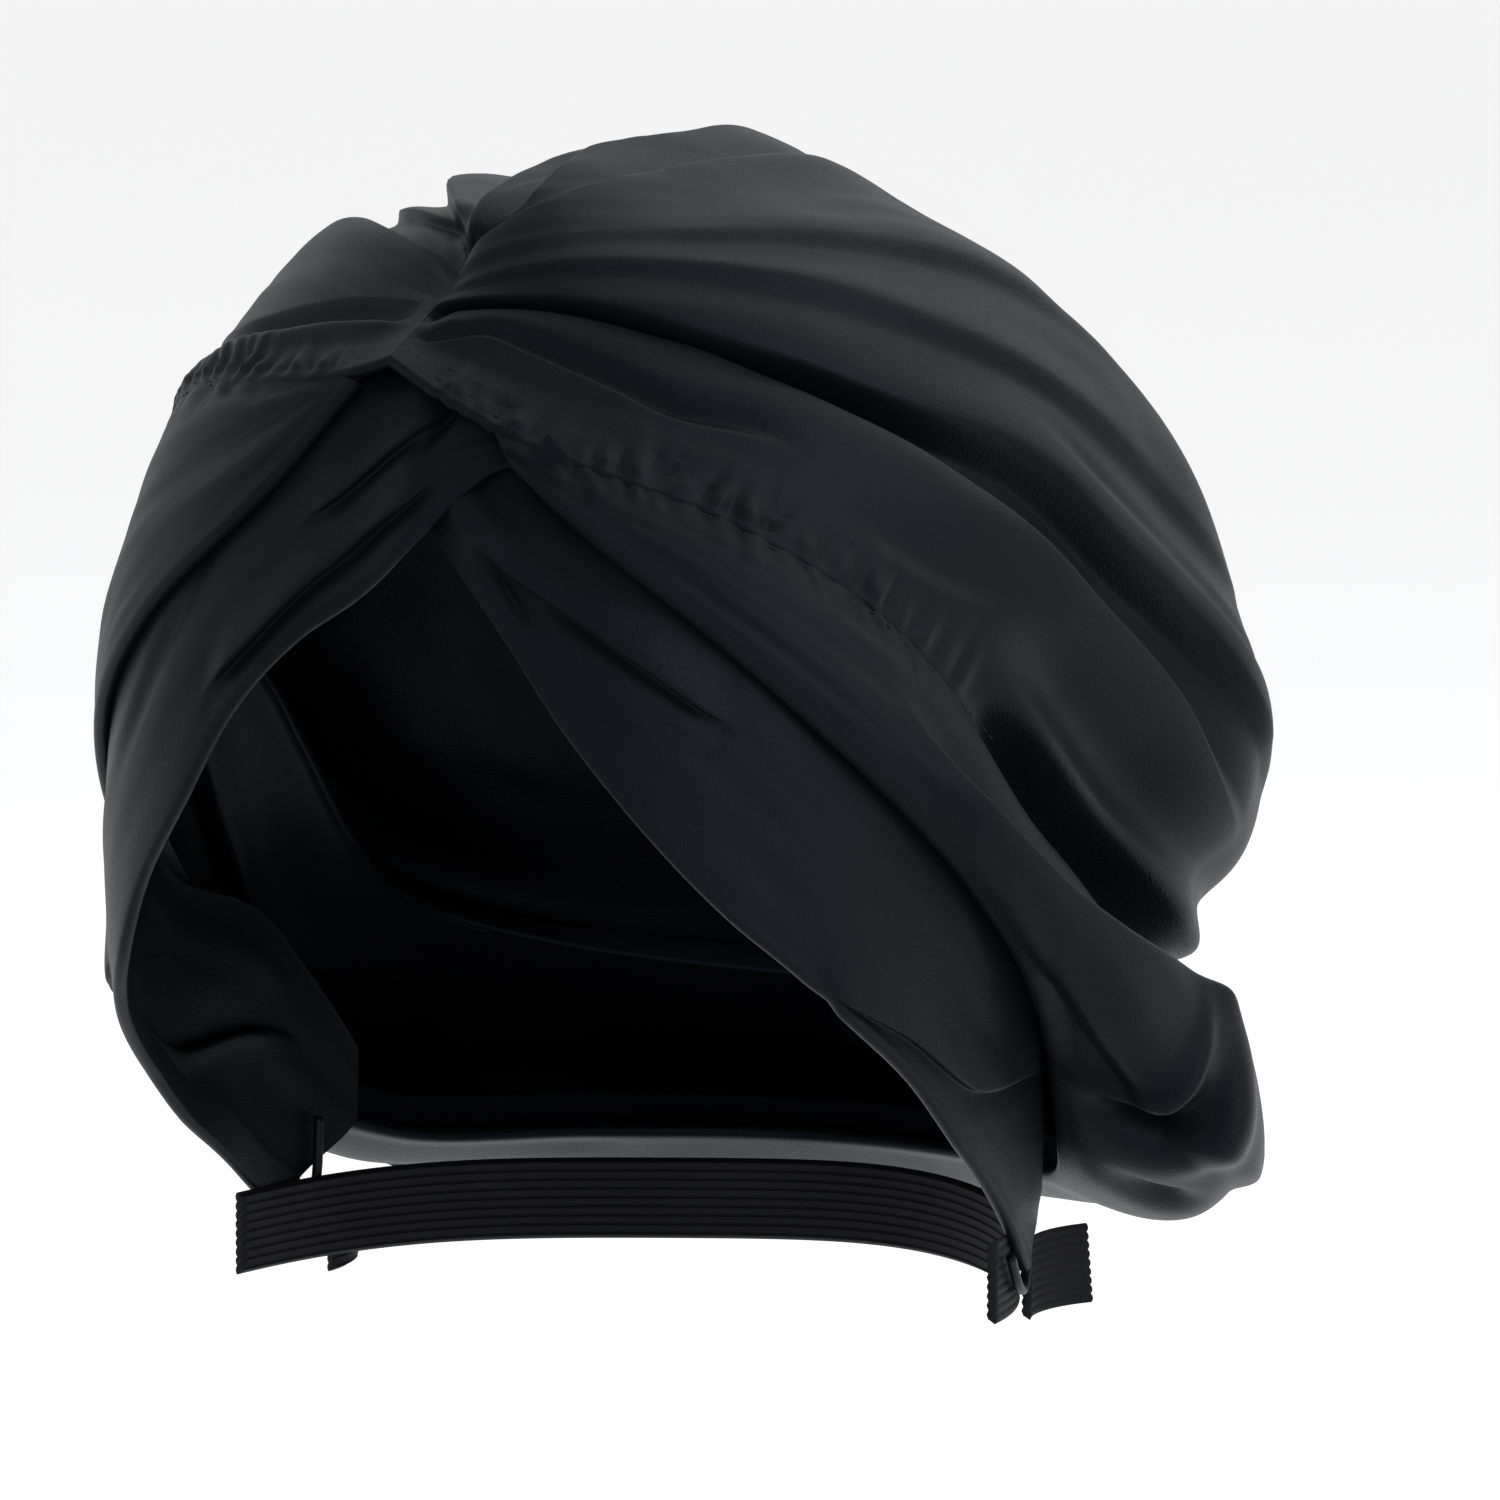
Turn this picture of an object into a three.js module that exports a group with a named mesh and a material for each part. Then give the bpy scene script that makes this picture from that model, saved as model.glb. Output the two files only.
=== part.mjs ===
// A pre-tied satin turban: a gathered crown, a loose upper wrap that swells into a pouch at the nape,
// two snug lower wraps that cross at the forehead, and an elastic strap behind the neck.
// Millimetres. +Z is up, the forehead faces -Y and the wearer's left is +X.
// The origin is the middle of the head, level with the tops of the ears.
import * as THREE from "three";

// Cloth walls and the gaps that sewn pieces keep.
const CROWN_WALL = 1.5;
const WRAP_WALL = 1.8;
const ELASTIC_WALL = 1.6;
const SEAM_GAP = 1.0;

// The head form that the wraps hug: an oval plan that closes over the top.
const HEAD = { halfWidth: 79, front: 97, back: 104, top: 132, waist: -20, fullness: 2.3 };

// Nape strap: a ribbed elastic behind the neck, with a short cut tail at each end.
const STRAP = { height: 16, centre: -72.5, standOff: 2.5, endAngle: 101 };
const TAIL = { angle: 117, height: 15.5, centre: -76, length: 17, standOff: 4.8, flare: 40 };

// Narrow round binding that loops about the tongue at the end of each lower wrap.
const BINDING = { radius: 1.0, standOff: 4.1, sides: 6, steps: 16 };
const BINDING_PATH = [
  { angle: 115.5, height: -53 },
  { angle: 115.2, height: -64 },
  { angle: 114, height: -72 },
  { angle: 111, height: -76 },
  { angle: 107, height: -74 },
  { angle: 103.5, height: -68 },
];

// How finely each sheet of cloth is divided.
const CROWN_GRID = { along: 25, across: 60 };
const POUCH_GRID = { along: 47, across: 9 };
const LOWER_GRID = { along: 36, across: 9 };
const STRAP_GRID = { along: 28, across: 2 };
const TAIL_GRID = { along: 5, across: 2 };

// Crown sections from the forehead gather to the back of the head. Each is an arch from the seam on
// one side to the seam on the other, with its crest on the middle plane. fullness rounds the arch
// and spread swells it between crest and seam.
const CROWN_CREST = [
  { at: 0.0, y: -40, z: 121, fullness: 2.0, spread: 0.0 },
  { at: 0.04, y: -34, z: 125, fullness: 2.0, spread: 0.03 },
  { at: 0.1, y: -22, z: 129, fullness: 1.95, spread: 0.02 },
  { at: 0.22, y: 4, z: 133, fullness: 1.9, spread: 0.0 },
  { at: 0.35, y: 34, z: 135, fullness: 1.95, spread: 0.02 },
  { at: 0.48, y: 68, z: 134, fullness: 2.1, spread: 0.08 },
  { at: 0.62, y: 100, z: 122, fullness: 2.2, spread: 0.18 },
  { at: 0.76, y: 129, z: 93, fullness: 2.2, spread: 0.25 },
  { at: 0.89, y: 150, z: 53, fullness: 2.1, spread: 0.24 },
  { at: 1.0, y: 160, z: 6, fullness: 2.0, spread: 0.0 },
];

// The seam where the crown meets the wraps, on the wearer's left and right.
const SEAM = [
  { at: 0.0, leftX: 0, leftY: -75, leftZ: 107, rightX: 0, rightY: -75, rightZ: 107 },
  { at: 0.04, leftX: 10, leftY: -78, leftZ: 102, rightX: -10, rightY: -75, rightZ: 104 },
  { at: 0.1, leftX: 27, leftY: -76, leftZ: 93, rightX: -26, rightY: -70, rightZ: 102 },
  { at: 0.22, leftX: 57, leftY: -57, leftZ: 79, rightX: -54, rightY: -48, rightZ: 98 },
  { at: 0.35, leftX: 76, leftY: -31, leftZ: 61, rightX: -73, rightY: -20, rightZ: 84 },
  { at: 0.48, leftX: 84, leftY: 0, leftZ: 38, rightX: -83, rightY: 8, rightZ: 55 },
  { at: 0.62, leftX: 85, leftY: 42, leftZ: 10, rightX: -85, rightY: 46, rightZ: 18 },
  { at: 0.76, leftX: 85, leftY: 86, leftZ: -15, rightX: -85, rightY: 88, rightZ: -12 },
  { at: 0.89, leftX: 60, leftY: 122, leftZ: -28, rightX: -60, rightY: 122, rightZ: -27 },
  { at: 1.0, leftX: 0, leftY: 138, leftZ: -33, rightX: 0, rightY: 138, rightZ: -33 },
];

// Crown folds. Each ridge leaves the gather and runs to the back. Its place is a share of the half
// arch: 0 is the middle of the top, 1 the wearer's left seam and -1 the right one. broad and steep
// are its widths on the two sides; steep lies towards the seam where towards is 1.
const CROWN_FOLDS = [
  { name: "left_puff", fore: 0.92, side: 0.91, rear: 0.9, back: 0.9, rise: 3.5, broad: 0.05, steep: 0.05, towards: 1 },
  { name: "left_lower", fore: 0.8, side: 0.82, rear: 0.83, back: 0.82, rise: 6, broad: 0.07, steep: 0.035, towards: 1 },
  { name: "left_middle", fore: 0.64, side: 0.68, rear: 0.7, back: 0.68, rise: 7, broad: 0.1, steep: 0.04, towards: 1 },
  { name: "left_upper", fore: 0.47, side: 0.47, rear: 0.5, back: 0.5, rise: 5, broad: 0.1, steep: 0.1, towards: 1 },
  { name: "top_left", fore: 0.36, side: 0.32, rear: 0.32, back: 0.3, rise: 6, broad: 0.09, steep: 0.04, towards: -1 },
  { name: "top_rear", fore: 0.17, side: 0.16, rear: 0.14, back: 0.1, rise: 6, broad: 0.07, steep: 0.05, towards: -1 },
  { name: "top_fore", fore: -0.03, side: -0.06, rear: -0.08, back: -0.1, rise: 6, broad: 0.08, steep: 0.05, towards: -1 },
  { name: "right_upper", fore: -0.28, side: -0.28, rear: -0.3, back: -0.3, rise: 4, broad: 0.09, steep: 0.06, towards: -1 },
  { name: "right_middle", fore: -0.52, side: -0.52, rear: -0.54, back: -0.52, rise: 3.5, broad: 0.1, steep: 0.05, towards: -1 },
  { name: "right_puff", fore: -0.8, side: -0.8, rear: -0.8, back: -0.78, rise: 3, broad: 0.09, steep: 0.07, towards: -1 },
];
const FOLD_STATIONS = { fore: 0.05, side: 0.35, rear: 0.7, back: 1 };
const FOLD_FADE = { gather: 0.08, seam: 0.12, back: 0.16, backShare: 0.45 };
const VALLEY = { share: 0.4, offset: 1.9 };

// The upper wrap on the wearer's left: from the crown's seam down to its lower edge, which lies over
// the lower wrap, and at the back down to the nape. Its edge is given on the head form.
const LEFT_POUCH = [
  { at: 0.06, angle: 20, height: 90, standOff: 9.6, bulge: 0.6 },
  { at: 0.1, angle: 25, height: 84, standOff: 9.4, bulge: 1.5 },
  { at: 0.22, angle: 46, height: 60, standOff: 9.2, bulge: 3 },
  { at: 0.35, angle: 66, height: 33, standOff: 9.4, bulge: 5 },
  { at: 0.48, angle: 86, height: 4, standOff: 10, bulge: 9 },
  { at: 0.62, angle: 105, height: -27, standOff: 10.5, bulge: 19 },
  { at: 0.7, angle: 115, height: -50, standOff: 10.5, bulge: 26 },
  { at: 0.78, angle: 128, height: -60, standOff: 10.5, bulge: 29 },
  { at: 0.89, angle: 152, height: -62, standOff: 10, bulge: 30 },
  { at: 1.0, angle: 180, height: -62, standOff: 9.6, bulge: 30 },
];
const RIGHT_POUCH = [
  { at: 0.04, angle: 4, height: 98, standOff: 9.6, bulge: 0.6 },
  { at: 0.1, angle: 16, height: 86, standOff: 9.4, bulge: 1.5 },
  { at: 0.22, angle: 40, height: 59, standOff: 9.2, bulge: 2.5 },
  { at: 0.35, angle: 65, height: 31, standOff: 9.2, bulge: 4 },
  { at: 0.48, angle: 86, height: 2, standOff: 10, bulge: 9 },
  { at: 0.62, angle: 105, height: -28, standOff: 10.5, bulge: 19 },
  { at: 0.7, angle: 115, height: -50, standOff: 10.5, bulge: 26 },
  { at: 0.78, angle: 128, height: -60, standOff: 10.5, bulge: 29 },
  { at: 0.89, angle: 152, height: -62, standOff: 10, bulge: 30 },
  { at: 1.0, angle: 180, height: -62, standOff: 9.6, bulge: 30 },
];

// Lower wraps, by angle round the head from the forehead. Each row gives the lower edge, the upper
// edge, which is tucked under the upper wrap, and how far the two stand off the head.
const LEFT_WRAP = [
  { angle: 9, bottom: 78, top: 86, foot: 2.2, head: 2.6 },
  { angle: 14, bottom: 70, top: 90, foot: 2.2, head: 3.4 },
  { angle: 20, bottom: 60, top: 91, foot: 2.2, head: 3.8 },
  { angle: 30, bottom: 40, top: 86, foot: 2.2, head: 4.4 },
  { angle: 40, bottom: 22, top: 76, foot: 2.2, head: 6.6 },
  { angle: 50, bottom: 7, top: 64, foot: 2.2, head: 6.6 },
  { angle: 60, bottom: -5, top: 50, foot: 2.2, head: 6.6 },
  { angle: 70, bottom: -17, top: 36, foot: 2.2, head: 6.6 },
  { angle: 80, bottom: -29, top: 20, foot: 2.2, head: 6.6 },
  { angle: 90, bottom: -43, top: 2, foot: 2.6, head: 6.6 },
  { angle: 100, bottom: -56, top: -22, foot: 3.8, head: 6.6 },
  { angle: 107, bottom: -66, top: -42, foot: 4.9, head: 6.6 },
  { angle: 112, bottom: -72, top: -56, foot: 5.2, head: 6.6 },
];
const RIGHT_WRAP = [
  { angle: -24, bottom: 90, top: 94, foot: 6.4, head: 6.2 },
  { angle: -18, bottom: 87, top: 98.5, foot: 6.7, head: 6.3 },
  { angle: -12, bottom: 80, top: 102, foot: 6.2, head: 5.7 },
  { angle: -6, bottom: 72, top: 104, foot: 5.0, head: 6.1 },
  { angle: 0, bottom: 65, top: 105.5, foot: 2.8, head: 4.8 },
  { angle: 10, bottom: 56, top: 100, foot: 2.2, head: 6.1 },
  { angle: 20, bottom: 43, top: 90, foot: 2.2, head: 6.1 },
  { angle: 30, bottom: 24, top: 82, foot: 2.2, head: 6.1 },
  { angle: 40, bottom: 9, top: 72, foot: 2.2, head: 6.1 },
  { angle: 50, bottom: -7, top: 60, foot: 2.2, head: 6.1 },
  { angle: 60, bottom: -18, top: 47, foot: 2.2, head: 6.1 },
  { angle: 80, bottom: -37, top: 18, foot: 2.2, head: 6.1 },
  { angle: 90, bottom: -48, top: 0, foot: 2.6, head: 6.1 },
  { angle: 100, bottom: -58, top: -22, foot: 3.8, head: 6.1 },
  { angle: 107, bottom: -67, top: -42, foot: 4.9, head: 6.1 },
  { angle: 112, bottom: -72, top: -56, foot: 5.2, head: 6.1 },
];

// Pleats of the lower wraps: lines across them where an upper layer lies over a lower one.
const LEFT_PLEATS = [
  { name: "inner_fold", from: 15, to: 50, start: 75, end: 43, rise: 1.5, above: 7, below: 3.5 },
  { name: "tongue_fold", from: 64, to: 106, start: -8, end: -46, rise: 1.2, above: 8, below: 3.5 },
];
const RIGHT_PLEATS = [
  { name: "inner_fold", from: -10, to: 24, start: 84, end: 48, rise: 1.5, above: 7, below: 3.5 },
  { name: "tongue_fold", from: 64, to: 106, start: -12, end: -47, rise: 1.2, above: 8, below: 3.5 },
];
const PLEAT_FADE = 8;

const SATIN = new THREE.MeshStandardMaterial({ color: 0x14151a, roughness: 0.42, metalness: 0 });
const BINDING_CLOTH = new THREE.MeshStandardMaterial({ color: 0x101116, roughness: 0.5, metalness: 0 });
const ELASTIC = new THREE.MeshStandardMaterial({ color: 0x0b0b0d, roughness: 0.85, metalness: 0 });

const lerp = THREE.MathUtils.lerp;
const smoothstep = THREE.MathUtils.smoothstep;

// Reads one column of a table at any place between its rows, along a smooth cubic.
function column(table, place, key, x) {
  const last = table.length - 1;
  const at = THREE.MathUtils.clamp(x, table[0][place], table[last][place]);
  let i = 0;
  while (i < last - 1 && table[i + 1][place] < at) i += 1;
  const step = (k) => table[k + 1][place] - table[k][place];
  const slope = (k) => (table[k + 1][key] - table[k][key]) / step(k);
  const tangent = (k) => {
    if (k === 0) return slope(0);
    if (k === last) return slope(last - 1);
    return (slope(k - 1) * step(k) + slope(k) * step(k - 1)) / (step(k - 1) + step(k));
  };
  const t = (at - table[i][place]) / step(i);
  const rise = table[i + 1][key] - table[i][key];
  const a = tangent(i) * step(i);
  const b = tangent(i + 1) * step(i);
  return table[i][key] + a * t + (3 * rise - 2 * a - b) * t * t + (a + b - 2 * rise) * t * t * t;
}

// A point on the head form, pushed out by standOff, at an angle from the forehead and a height.
function onHead(angle, height, standOff) {
  const turn = THREE.MathUtils.degToRad(angle);
  const share = THREE.MathUtils.clamp((height - HEAD.waist) / (HEAD.top + standOff - HEAD.waist), 0, 1);
  const close = (1 - share ** HEAD.fullness) ** (1 / HEAD.fullness);
  const length = (Math.cos(turn) > 0 ? HEAD.front : HEAD.back) + standOff;
  return new THREE.Vector3(
    (HEAD.halfWidth + standOff) * close * Math.sin(turn),
    -length * close * Math.cos(turn),
    height,
  );
}

// A sheet of cloth as an indexed surface. pointAt takes shares along and across from 0 to 1.
// Where weld is set, the two halves of the first and last rows are one line of points.
function clothSheet(grid, pointAt, weld = false) {
  const points = [];
  const place = new Map();
  const indexOf = (i, j) => {
    const closed = weld && (i === 0 || i === grid.along);
    const column = closed ? Math.min(j, grid.across - j) : j;
    const key = i * (grid.across + 1) + column;
    if (!place.has(key)) {
      place.set(key, points.length);
      points.push(pointAt(i / grid.along, column / grid.across));
    }
    return place.get(key);
  };
  const index = [];
  for (let i = 0; i < grid.along; i += 1) {
    for (let j = 0; j < grid.across; j += 1) {
      const [a, b] = [indexOf(i, j), indexOf(i + 1, j)];
      const [c, d] = [indexOf(i + 1, j + 1), indexOf(i, j + 1)];
      index.push(a, b, c, a, c, d);
    }
  }
  return { points, index };
}

// Gives a sheet its thickness: the sheet is the outer face, and its free edges are closed.
function thicken(sheet, wall) {
  const outer = new THREE.BufferGeometry().setFromPoints(sheet.points);
  outer.setIndex(sheet.index);
  outer.computeVertexNormals();
  const normals = outer.getAttribute("normal");
  const inner = sheet.points.map((point, i) =>
    point.clone().addScaledVector(new THREE.Vector3().fromBufferAttribute(normals, i), -wall),
  );
  const count = sheet.points.length;
  const faces = [];
  const edges = new Map();
  for (let i = 0; i < sheet.index.length; i += 3) {
    const [a, b, c] = sheet.index.slice(i, i + 3);
    faces.push(a, b, c, c + count, b + count, a + count);
    for (const [from, to] of [[a, b], [b, c], [c, a]]) {
      const back = to + ":" + from;
      if (edges.has(back)) edges.delete(back);
      else edges.set(from + ":" + to, [from, to]);
    }
  }
  for (const [from, to] of edges.values()) {
    faces.push(to, from, from + count, to, from + count, to + count);
  }
  const solid = new THREE.BufferGeometry().setFromPoints([...sheet.points, ...inner]);
  solid.setIndex(faces);
  solid.computeVertexNormals();
  return solid;
}

// A ridge's height across its line: a broad slope on one side, a steep one on the other with a
// valley at its foot.
function ridge(distance, broad, steep) {
  const width = distance > 0 ? steep : broad;
  const valley = (distance - VALLEY.offset * steep) / steep;
  return Math.exp(-((distance / width) ** 2)) - VALLEY.share * Math.exp(-(valley ** 2));
}

// A place on the seam; side is 1 for the wearer's left and -1 for the right.
function seamPoint(along, side) {
  const hand = side > 0 ? "left" : "right";
  const read = (axis) => column(SEAM, "at", hand + axis, along);
  return new THREE.Vector3(read("X"), read("Y"), read("Z"));
}

// The swell of each arch sits low, near the seam, as loose cloth sags.
const SAG = 2.4;

// The plain arch of the crown, before its folds. across runs from -1 at the right seam to 1 at the left.
function crownArch(along, across) {
  const read = (key) => column(CROWN_CREST, "at", key, along);
  const seam = seamPoint(along, across);
  const turn = (Math.abs(across) * Math.PI) / 2;
  const power = 2 / read("fullness");
  const side = Math.sin(turn) ** power * (1 + read("spread") * Math.sin(Math.PI * Math.abs(across) ** SAG));
  const up = Math.cos(turn) ** power;
  return new THREE.Vector3(seam.x * side, lerp(seam.y, read("y"), up), lerp(seam.z, read("z"), up));
}

// How far the folds lift the crown at a place.
function crownFolds(along, across) {
  const stations = Object.entries(FOLD_STATIONS).map(([name, at]) => ({ name, at }));
  let lift = 0;
  for (const fold of CROWN_FOLDS) {
    const path = stations.map(({ name, at }) => ({ at, place: fold[name] }));
    const distance = (across - column(path, "at", "place", along)) * fold.towards;
    lift += fold.rise * ridge(distance, fold.broad, fold.steep);
  }
  const gather = smoothstep(along, 0, FOLD_FADE.gather);
  const seam = smoothstep(1 - Math.abs(across), 0, FOLD_FADE.seam);
  const back = lerp(FOLD_FADE.backShare, 1, smoothstep(1 - along, 0, FOLD_FADE.back));
  const close = smoothstep(1 - along, 0, FOLD_FADE.gather);
  return lift * gather * seam * back * close;
}

function crownPoint(along, across) {
  const step = 0.01;
  const at = crownArch(along, across);
  const lift = crownFolds(along, across);
  if (lift === 0) return at;
  const forward = crownArch(along + step, across).sub(crownArch(along - step, across));
  const sideways = crownArch(along, Math.min(across + step, 1));
  sideways.sub(crownArch(along, Math.max(across - step, -1)));
  return at.addScaledVector(sideways.cross(forward).normalize(), lift);
}

function makeCrown() {
  const sheet = clothSheet(CROWN_GRID, (along, share) => crownPoint(along, 1 - 2 * share), true);
  return thicken(sheet, CROWN_WALL);
}

// The upper wrap. along runs from the wearer's left of the forehead, round the back, to the right.
// It is divided where the crown is, so that the two keep an even gap along their seam.
const POUCH_START = { left: 2, right: 1 };
const POUCH_SAG = 0.65;

function pouchPoint(along, across) {
  const leftSteps = CROWN_GRID.along - POUCH_START.left;
  const step = Math.round(along * POUCH_GRID.along);
  const left = step <= leftSteps;
  const table = left ? LEFT_POUCH : RIGHT_POUCH;
  const side = left ? 1 : -1;
  const at = (left ? POUCH_START.left + step : CROWN_GRID.along - step + leftSteps) / CROWN_GRID.along;
  const read = (key) => column(table, "at", key, at);
  const seam = seamPoint(at, side);
  seam.z -= SEAM_GAP;
  const edge = onHead(side * read("angle"), read("height"), read("standOff"));
  const outward = new THREE.Vector3(seam.x / HEAD.halfWidth ** 2, seam.y / HEAD.back ** 2, 0).normalize();
  const belly = Math.sin(Math.PI * across ** 1.15) ** 0.9;
  const point = seam.lerp(edge, across).addScaledVector(outward, read("bulge") * belly);
  point.z -= read("bulge") * POUCH_SAG * Math.sin(Math.PI * across ** 1.8);
  return point;
}

function makePouch() {
  const sheet = clothSheet(POUCH_GRID, (along, share) => pouchPoint(along, 1 - share));
  return thicken(sheet, WRAP_WALL);
}

// How far the pleats lift a lower wrap at a place.
function pleatLift(pleats, angle, height) {
  let lift = 0;
  for (const pleat of pleats) {
    const share = (angle - pleat.from) / (pleat.to - pleat.from);
    const distance = height - lerp(pleat.start, pleat.end, share);
    const width = distance > 0 ? pleat.above : pleat.below;
    const begin = smoothstep(angle, pleat.from, pleat.from + PLEAT_FADE);
    const finish = 1 - smoothstep(angle, pleat.to - PLEAT_FADE, pleat.to);
    lift += pleat.rise * begin * finish * Math.exp(-((distance / width) ** 2));
  }
  return lift;
}

// A lower wrap: a band between its two edges, rounded where its layers are folded.
function wrapPoint(table, pleats, side, along, across) {
  const angle = lerp(table[0].angle, table[table.length - 1].angle, along);
  const read = (key) => column(table, "angle", key, angle);
  const roll = WRAP_ROLL * Math.sin(Math.PI * across) ** 0.7 * smoothstep(along, 0, 0.15);
  const height = lerp(read("bottom"), read("top"), across);
  const standOff = lerp(read("foot"), read("head"), across) + roll;
  return onHead(side * angle, height, standOff + pleatLift(pleats, angle, height));
}
const WRAP_ROLL = 0.8;

function makeWrap(table, pleats, side) {
  const order = side > 0 ? (share) => share : (share) => 1 - share;
  const pointAt = (along, across) => wrapPoint(table, pleats, side, order(along), across);
  return thicken(clothSheet(LOWER_GRID, pointAt), WRAP_WALL);
}

// The elastic strap behind the neck, from under one tongue to under the other.
function makeStrap() {
  const sheet = clothSheet(STRAP_GRID, (along, across) => {
    const angle = lerp(STRAP.endAngle, 360 - STRAP.endAngle, along);
    return onHead(angle, STRAP.centre + STRAP.height * (across - 0.5), STRAP.standOff);
  });
  return thicken(sheet, ELASTIC_WALL);
}

// The cut end of the elastic, which stands out behind a tongue.
function makeTail(side) {
  const root = onHead(side * TAIL.angle, TAIL.centre, TAIL.standOff);
  const tangent = onHead(side * (TAIL.angle + 1), TAIL.centre, TAIL.standOff).sub(root).normalize();
  const outward = new THREE.Vector3(side * -tangent.y, side * tangent.x, 0).negate();
  const flare = THREE.MathUtils.degToRad(TAIL.flare);
  const order = side > 0 ? (share) => share : (share) => 1 - share;
  const sheet = clothSheet(TAIL_GRID, (share, across) => {
    const along = order(share);
    const point = root.clone();
    point.addScaledVector(tangent, TAIL.length * along * Math.cos(flare * along));
    point.addScaledVector(outward, TAIL.length * along * Math.sin(flare * along));
    point.z += TAIL.height * (across - 0.5);
    return point;
  });
  return thicken(sheet, ELASTIC_WALL);
}

// The narrow binding that loops about a tongue.
function makeBinding(side) {
  const path = BINDING_PATH.map(({ angle, height }) => onHead(side * angle, height, BINDING.standOff));
  const profile = new THREE.Shape();
  for (let i = 0; i < BINDING.sides; i += 1) {
    const turn = (2 * Math.PI * i) / BINDING.sides;
    const [x, y] = [BINDING.radius * Math.cos(turn), BINDING.radius * Math.sin(turn)];
    if (i === 0) profile.moveTo(x, y);
    else profile.lineTo(x, y);
  }
  const extrudePath = new THREE.CatmullRomCurve3(path);
  return new THREE.ExtrudeGeometry(profile, { steps: BINDING.steps, extrudePath });
}

const turban = new THREE.Group();
function add(name, geometry, material) {
  const mesh = new THREE.Mesh(geometry, material);
  mesh.name = name;
  turban.add(mesh);
  return mesh;
}

add("crown", makeCrown(), SATIN);
add("upper_wrap", makePouch(), SATIN);
add("lower_wrap_left", makeWrap(LEFT_WRAP, LEFT_PLEATS, 1), SATIN);
add("lower_wrap_right", makeWrap(RIGHT_WRAP, RIGHT_PLEATS, -1), SATIN);
add("nape_strap", makeStrap(), ELASTIC);
add("strap_tail_left", makeTail(1), ELASTIC);
add("strap_tail_right", makeTail(-1), ELASTIC);
add("nape_binding_left", makeBinding(1), BINDING_CLOTH);
add("nape_binding_right", makeBinding(-1), BINDING_CLOTH);

export default turban;
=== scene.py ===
"""Dresses the satin turban: hi-res folded cloth, ribbed elastic, stitches, finishes and a pale studio."""

import logging
import math
from dataclasses import dataclass, replace
from enum import Enum

import bmesh
import bpy
import numpy as np
from mathutils import Matrix, Vector


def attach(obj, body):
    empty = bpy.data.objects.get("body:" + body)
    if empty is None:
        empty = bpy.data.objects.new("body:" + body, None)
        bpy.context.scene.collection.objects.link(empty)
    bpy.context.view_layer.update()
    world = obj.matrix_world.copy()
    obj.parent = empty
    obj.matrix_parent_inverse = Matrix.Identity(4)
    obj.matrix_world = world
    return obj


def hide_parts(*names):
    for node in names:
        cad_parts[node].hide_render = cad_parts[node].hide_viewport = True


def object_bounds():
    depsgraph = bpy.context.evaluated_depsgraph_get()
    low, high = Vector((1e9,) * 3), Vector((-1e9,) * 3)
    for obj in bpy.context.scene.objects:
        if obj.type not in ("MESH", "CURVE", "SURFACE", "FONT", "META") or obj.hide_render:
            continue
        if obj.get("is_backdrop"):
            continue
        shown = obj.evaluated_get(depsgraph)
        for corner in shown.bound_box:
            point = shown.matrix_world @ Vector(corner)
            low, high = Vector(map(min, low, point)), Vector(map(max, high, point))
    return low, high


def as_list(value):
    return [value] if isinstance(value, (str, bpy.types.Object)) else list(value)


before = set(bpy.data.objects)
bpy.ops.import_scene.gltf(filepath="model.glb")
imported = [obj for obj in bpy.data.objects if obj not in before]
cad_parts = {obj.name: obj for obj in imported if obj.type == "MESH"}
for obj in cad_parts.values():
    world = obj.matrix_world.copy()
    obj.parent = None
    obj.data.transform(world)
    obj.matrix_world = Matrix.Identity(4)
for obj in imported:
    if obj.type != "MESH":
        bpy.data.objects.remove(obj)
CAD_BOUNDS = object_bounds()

LOG = logging.getLogger("turban")
MM = 0.001
SEED = 20
ROOT = "root"
DETAIL = 1.0
LATTICE = 256
FULL_LAP = 9.0


class Side(Enum):
    """Which half of the head a piece lies on, as the sign of its X."""

    LEFT = 1
    RIGHT = -1


class Slot(Enum):
    """The part's material slots."""

    SATIN = "satin"
    ELASTIC = "elastic"
    BINDING = "binding"


class Held(Enum):
    """How a sheet of cloth is held."""

    GATHERED = "gathered"
    FOLDED = "folded"
    STRETCHED = "stretched"


Grid = np.ndarray
Piece = bpy.types.Object
Pair = tuple[float, float]
Triple = tuple[float, float, float]
Quad = tuple[float, float, float, float]


def smooth(x: Grid, low: float = 0.0, high: float = 1.0) -> Grid:
    """Smooth step from 0 at low to 1 at high."""
    t = np.clip((np.asarray(x, float) - low) / (high - low), 0, 1)
    return t * t * (3 - 2 * t)


def window(x: Grid, edges: tuple[float, ...]) -> Grid:
    """Rises from 0 to 1 between the first two edges and falls back between the last two."""
    start, full, fade, end = edges
    return smooth(x, start, full) * (1 - smooth(x, fade, end))


def bell(x: Grid, rise: float, place: float, width: float) -> Grid:
    """A soft bump of a given rise about a place."""
    return rise * np.exp(-(((x - place) / width) ** 2))


def run_length(points: Grid) -> Grid:
    """Lengths along a row of points, from 0 at the first."""
    return np.concatenate([[0.0], np.cumsum(np.linalg.norm(np.diff(points, axis=0), axis=1))])


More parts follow.
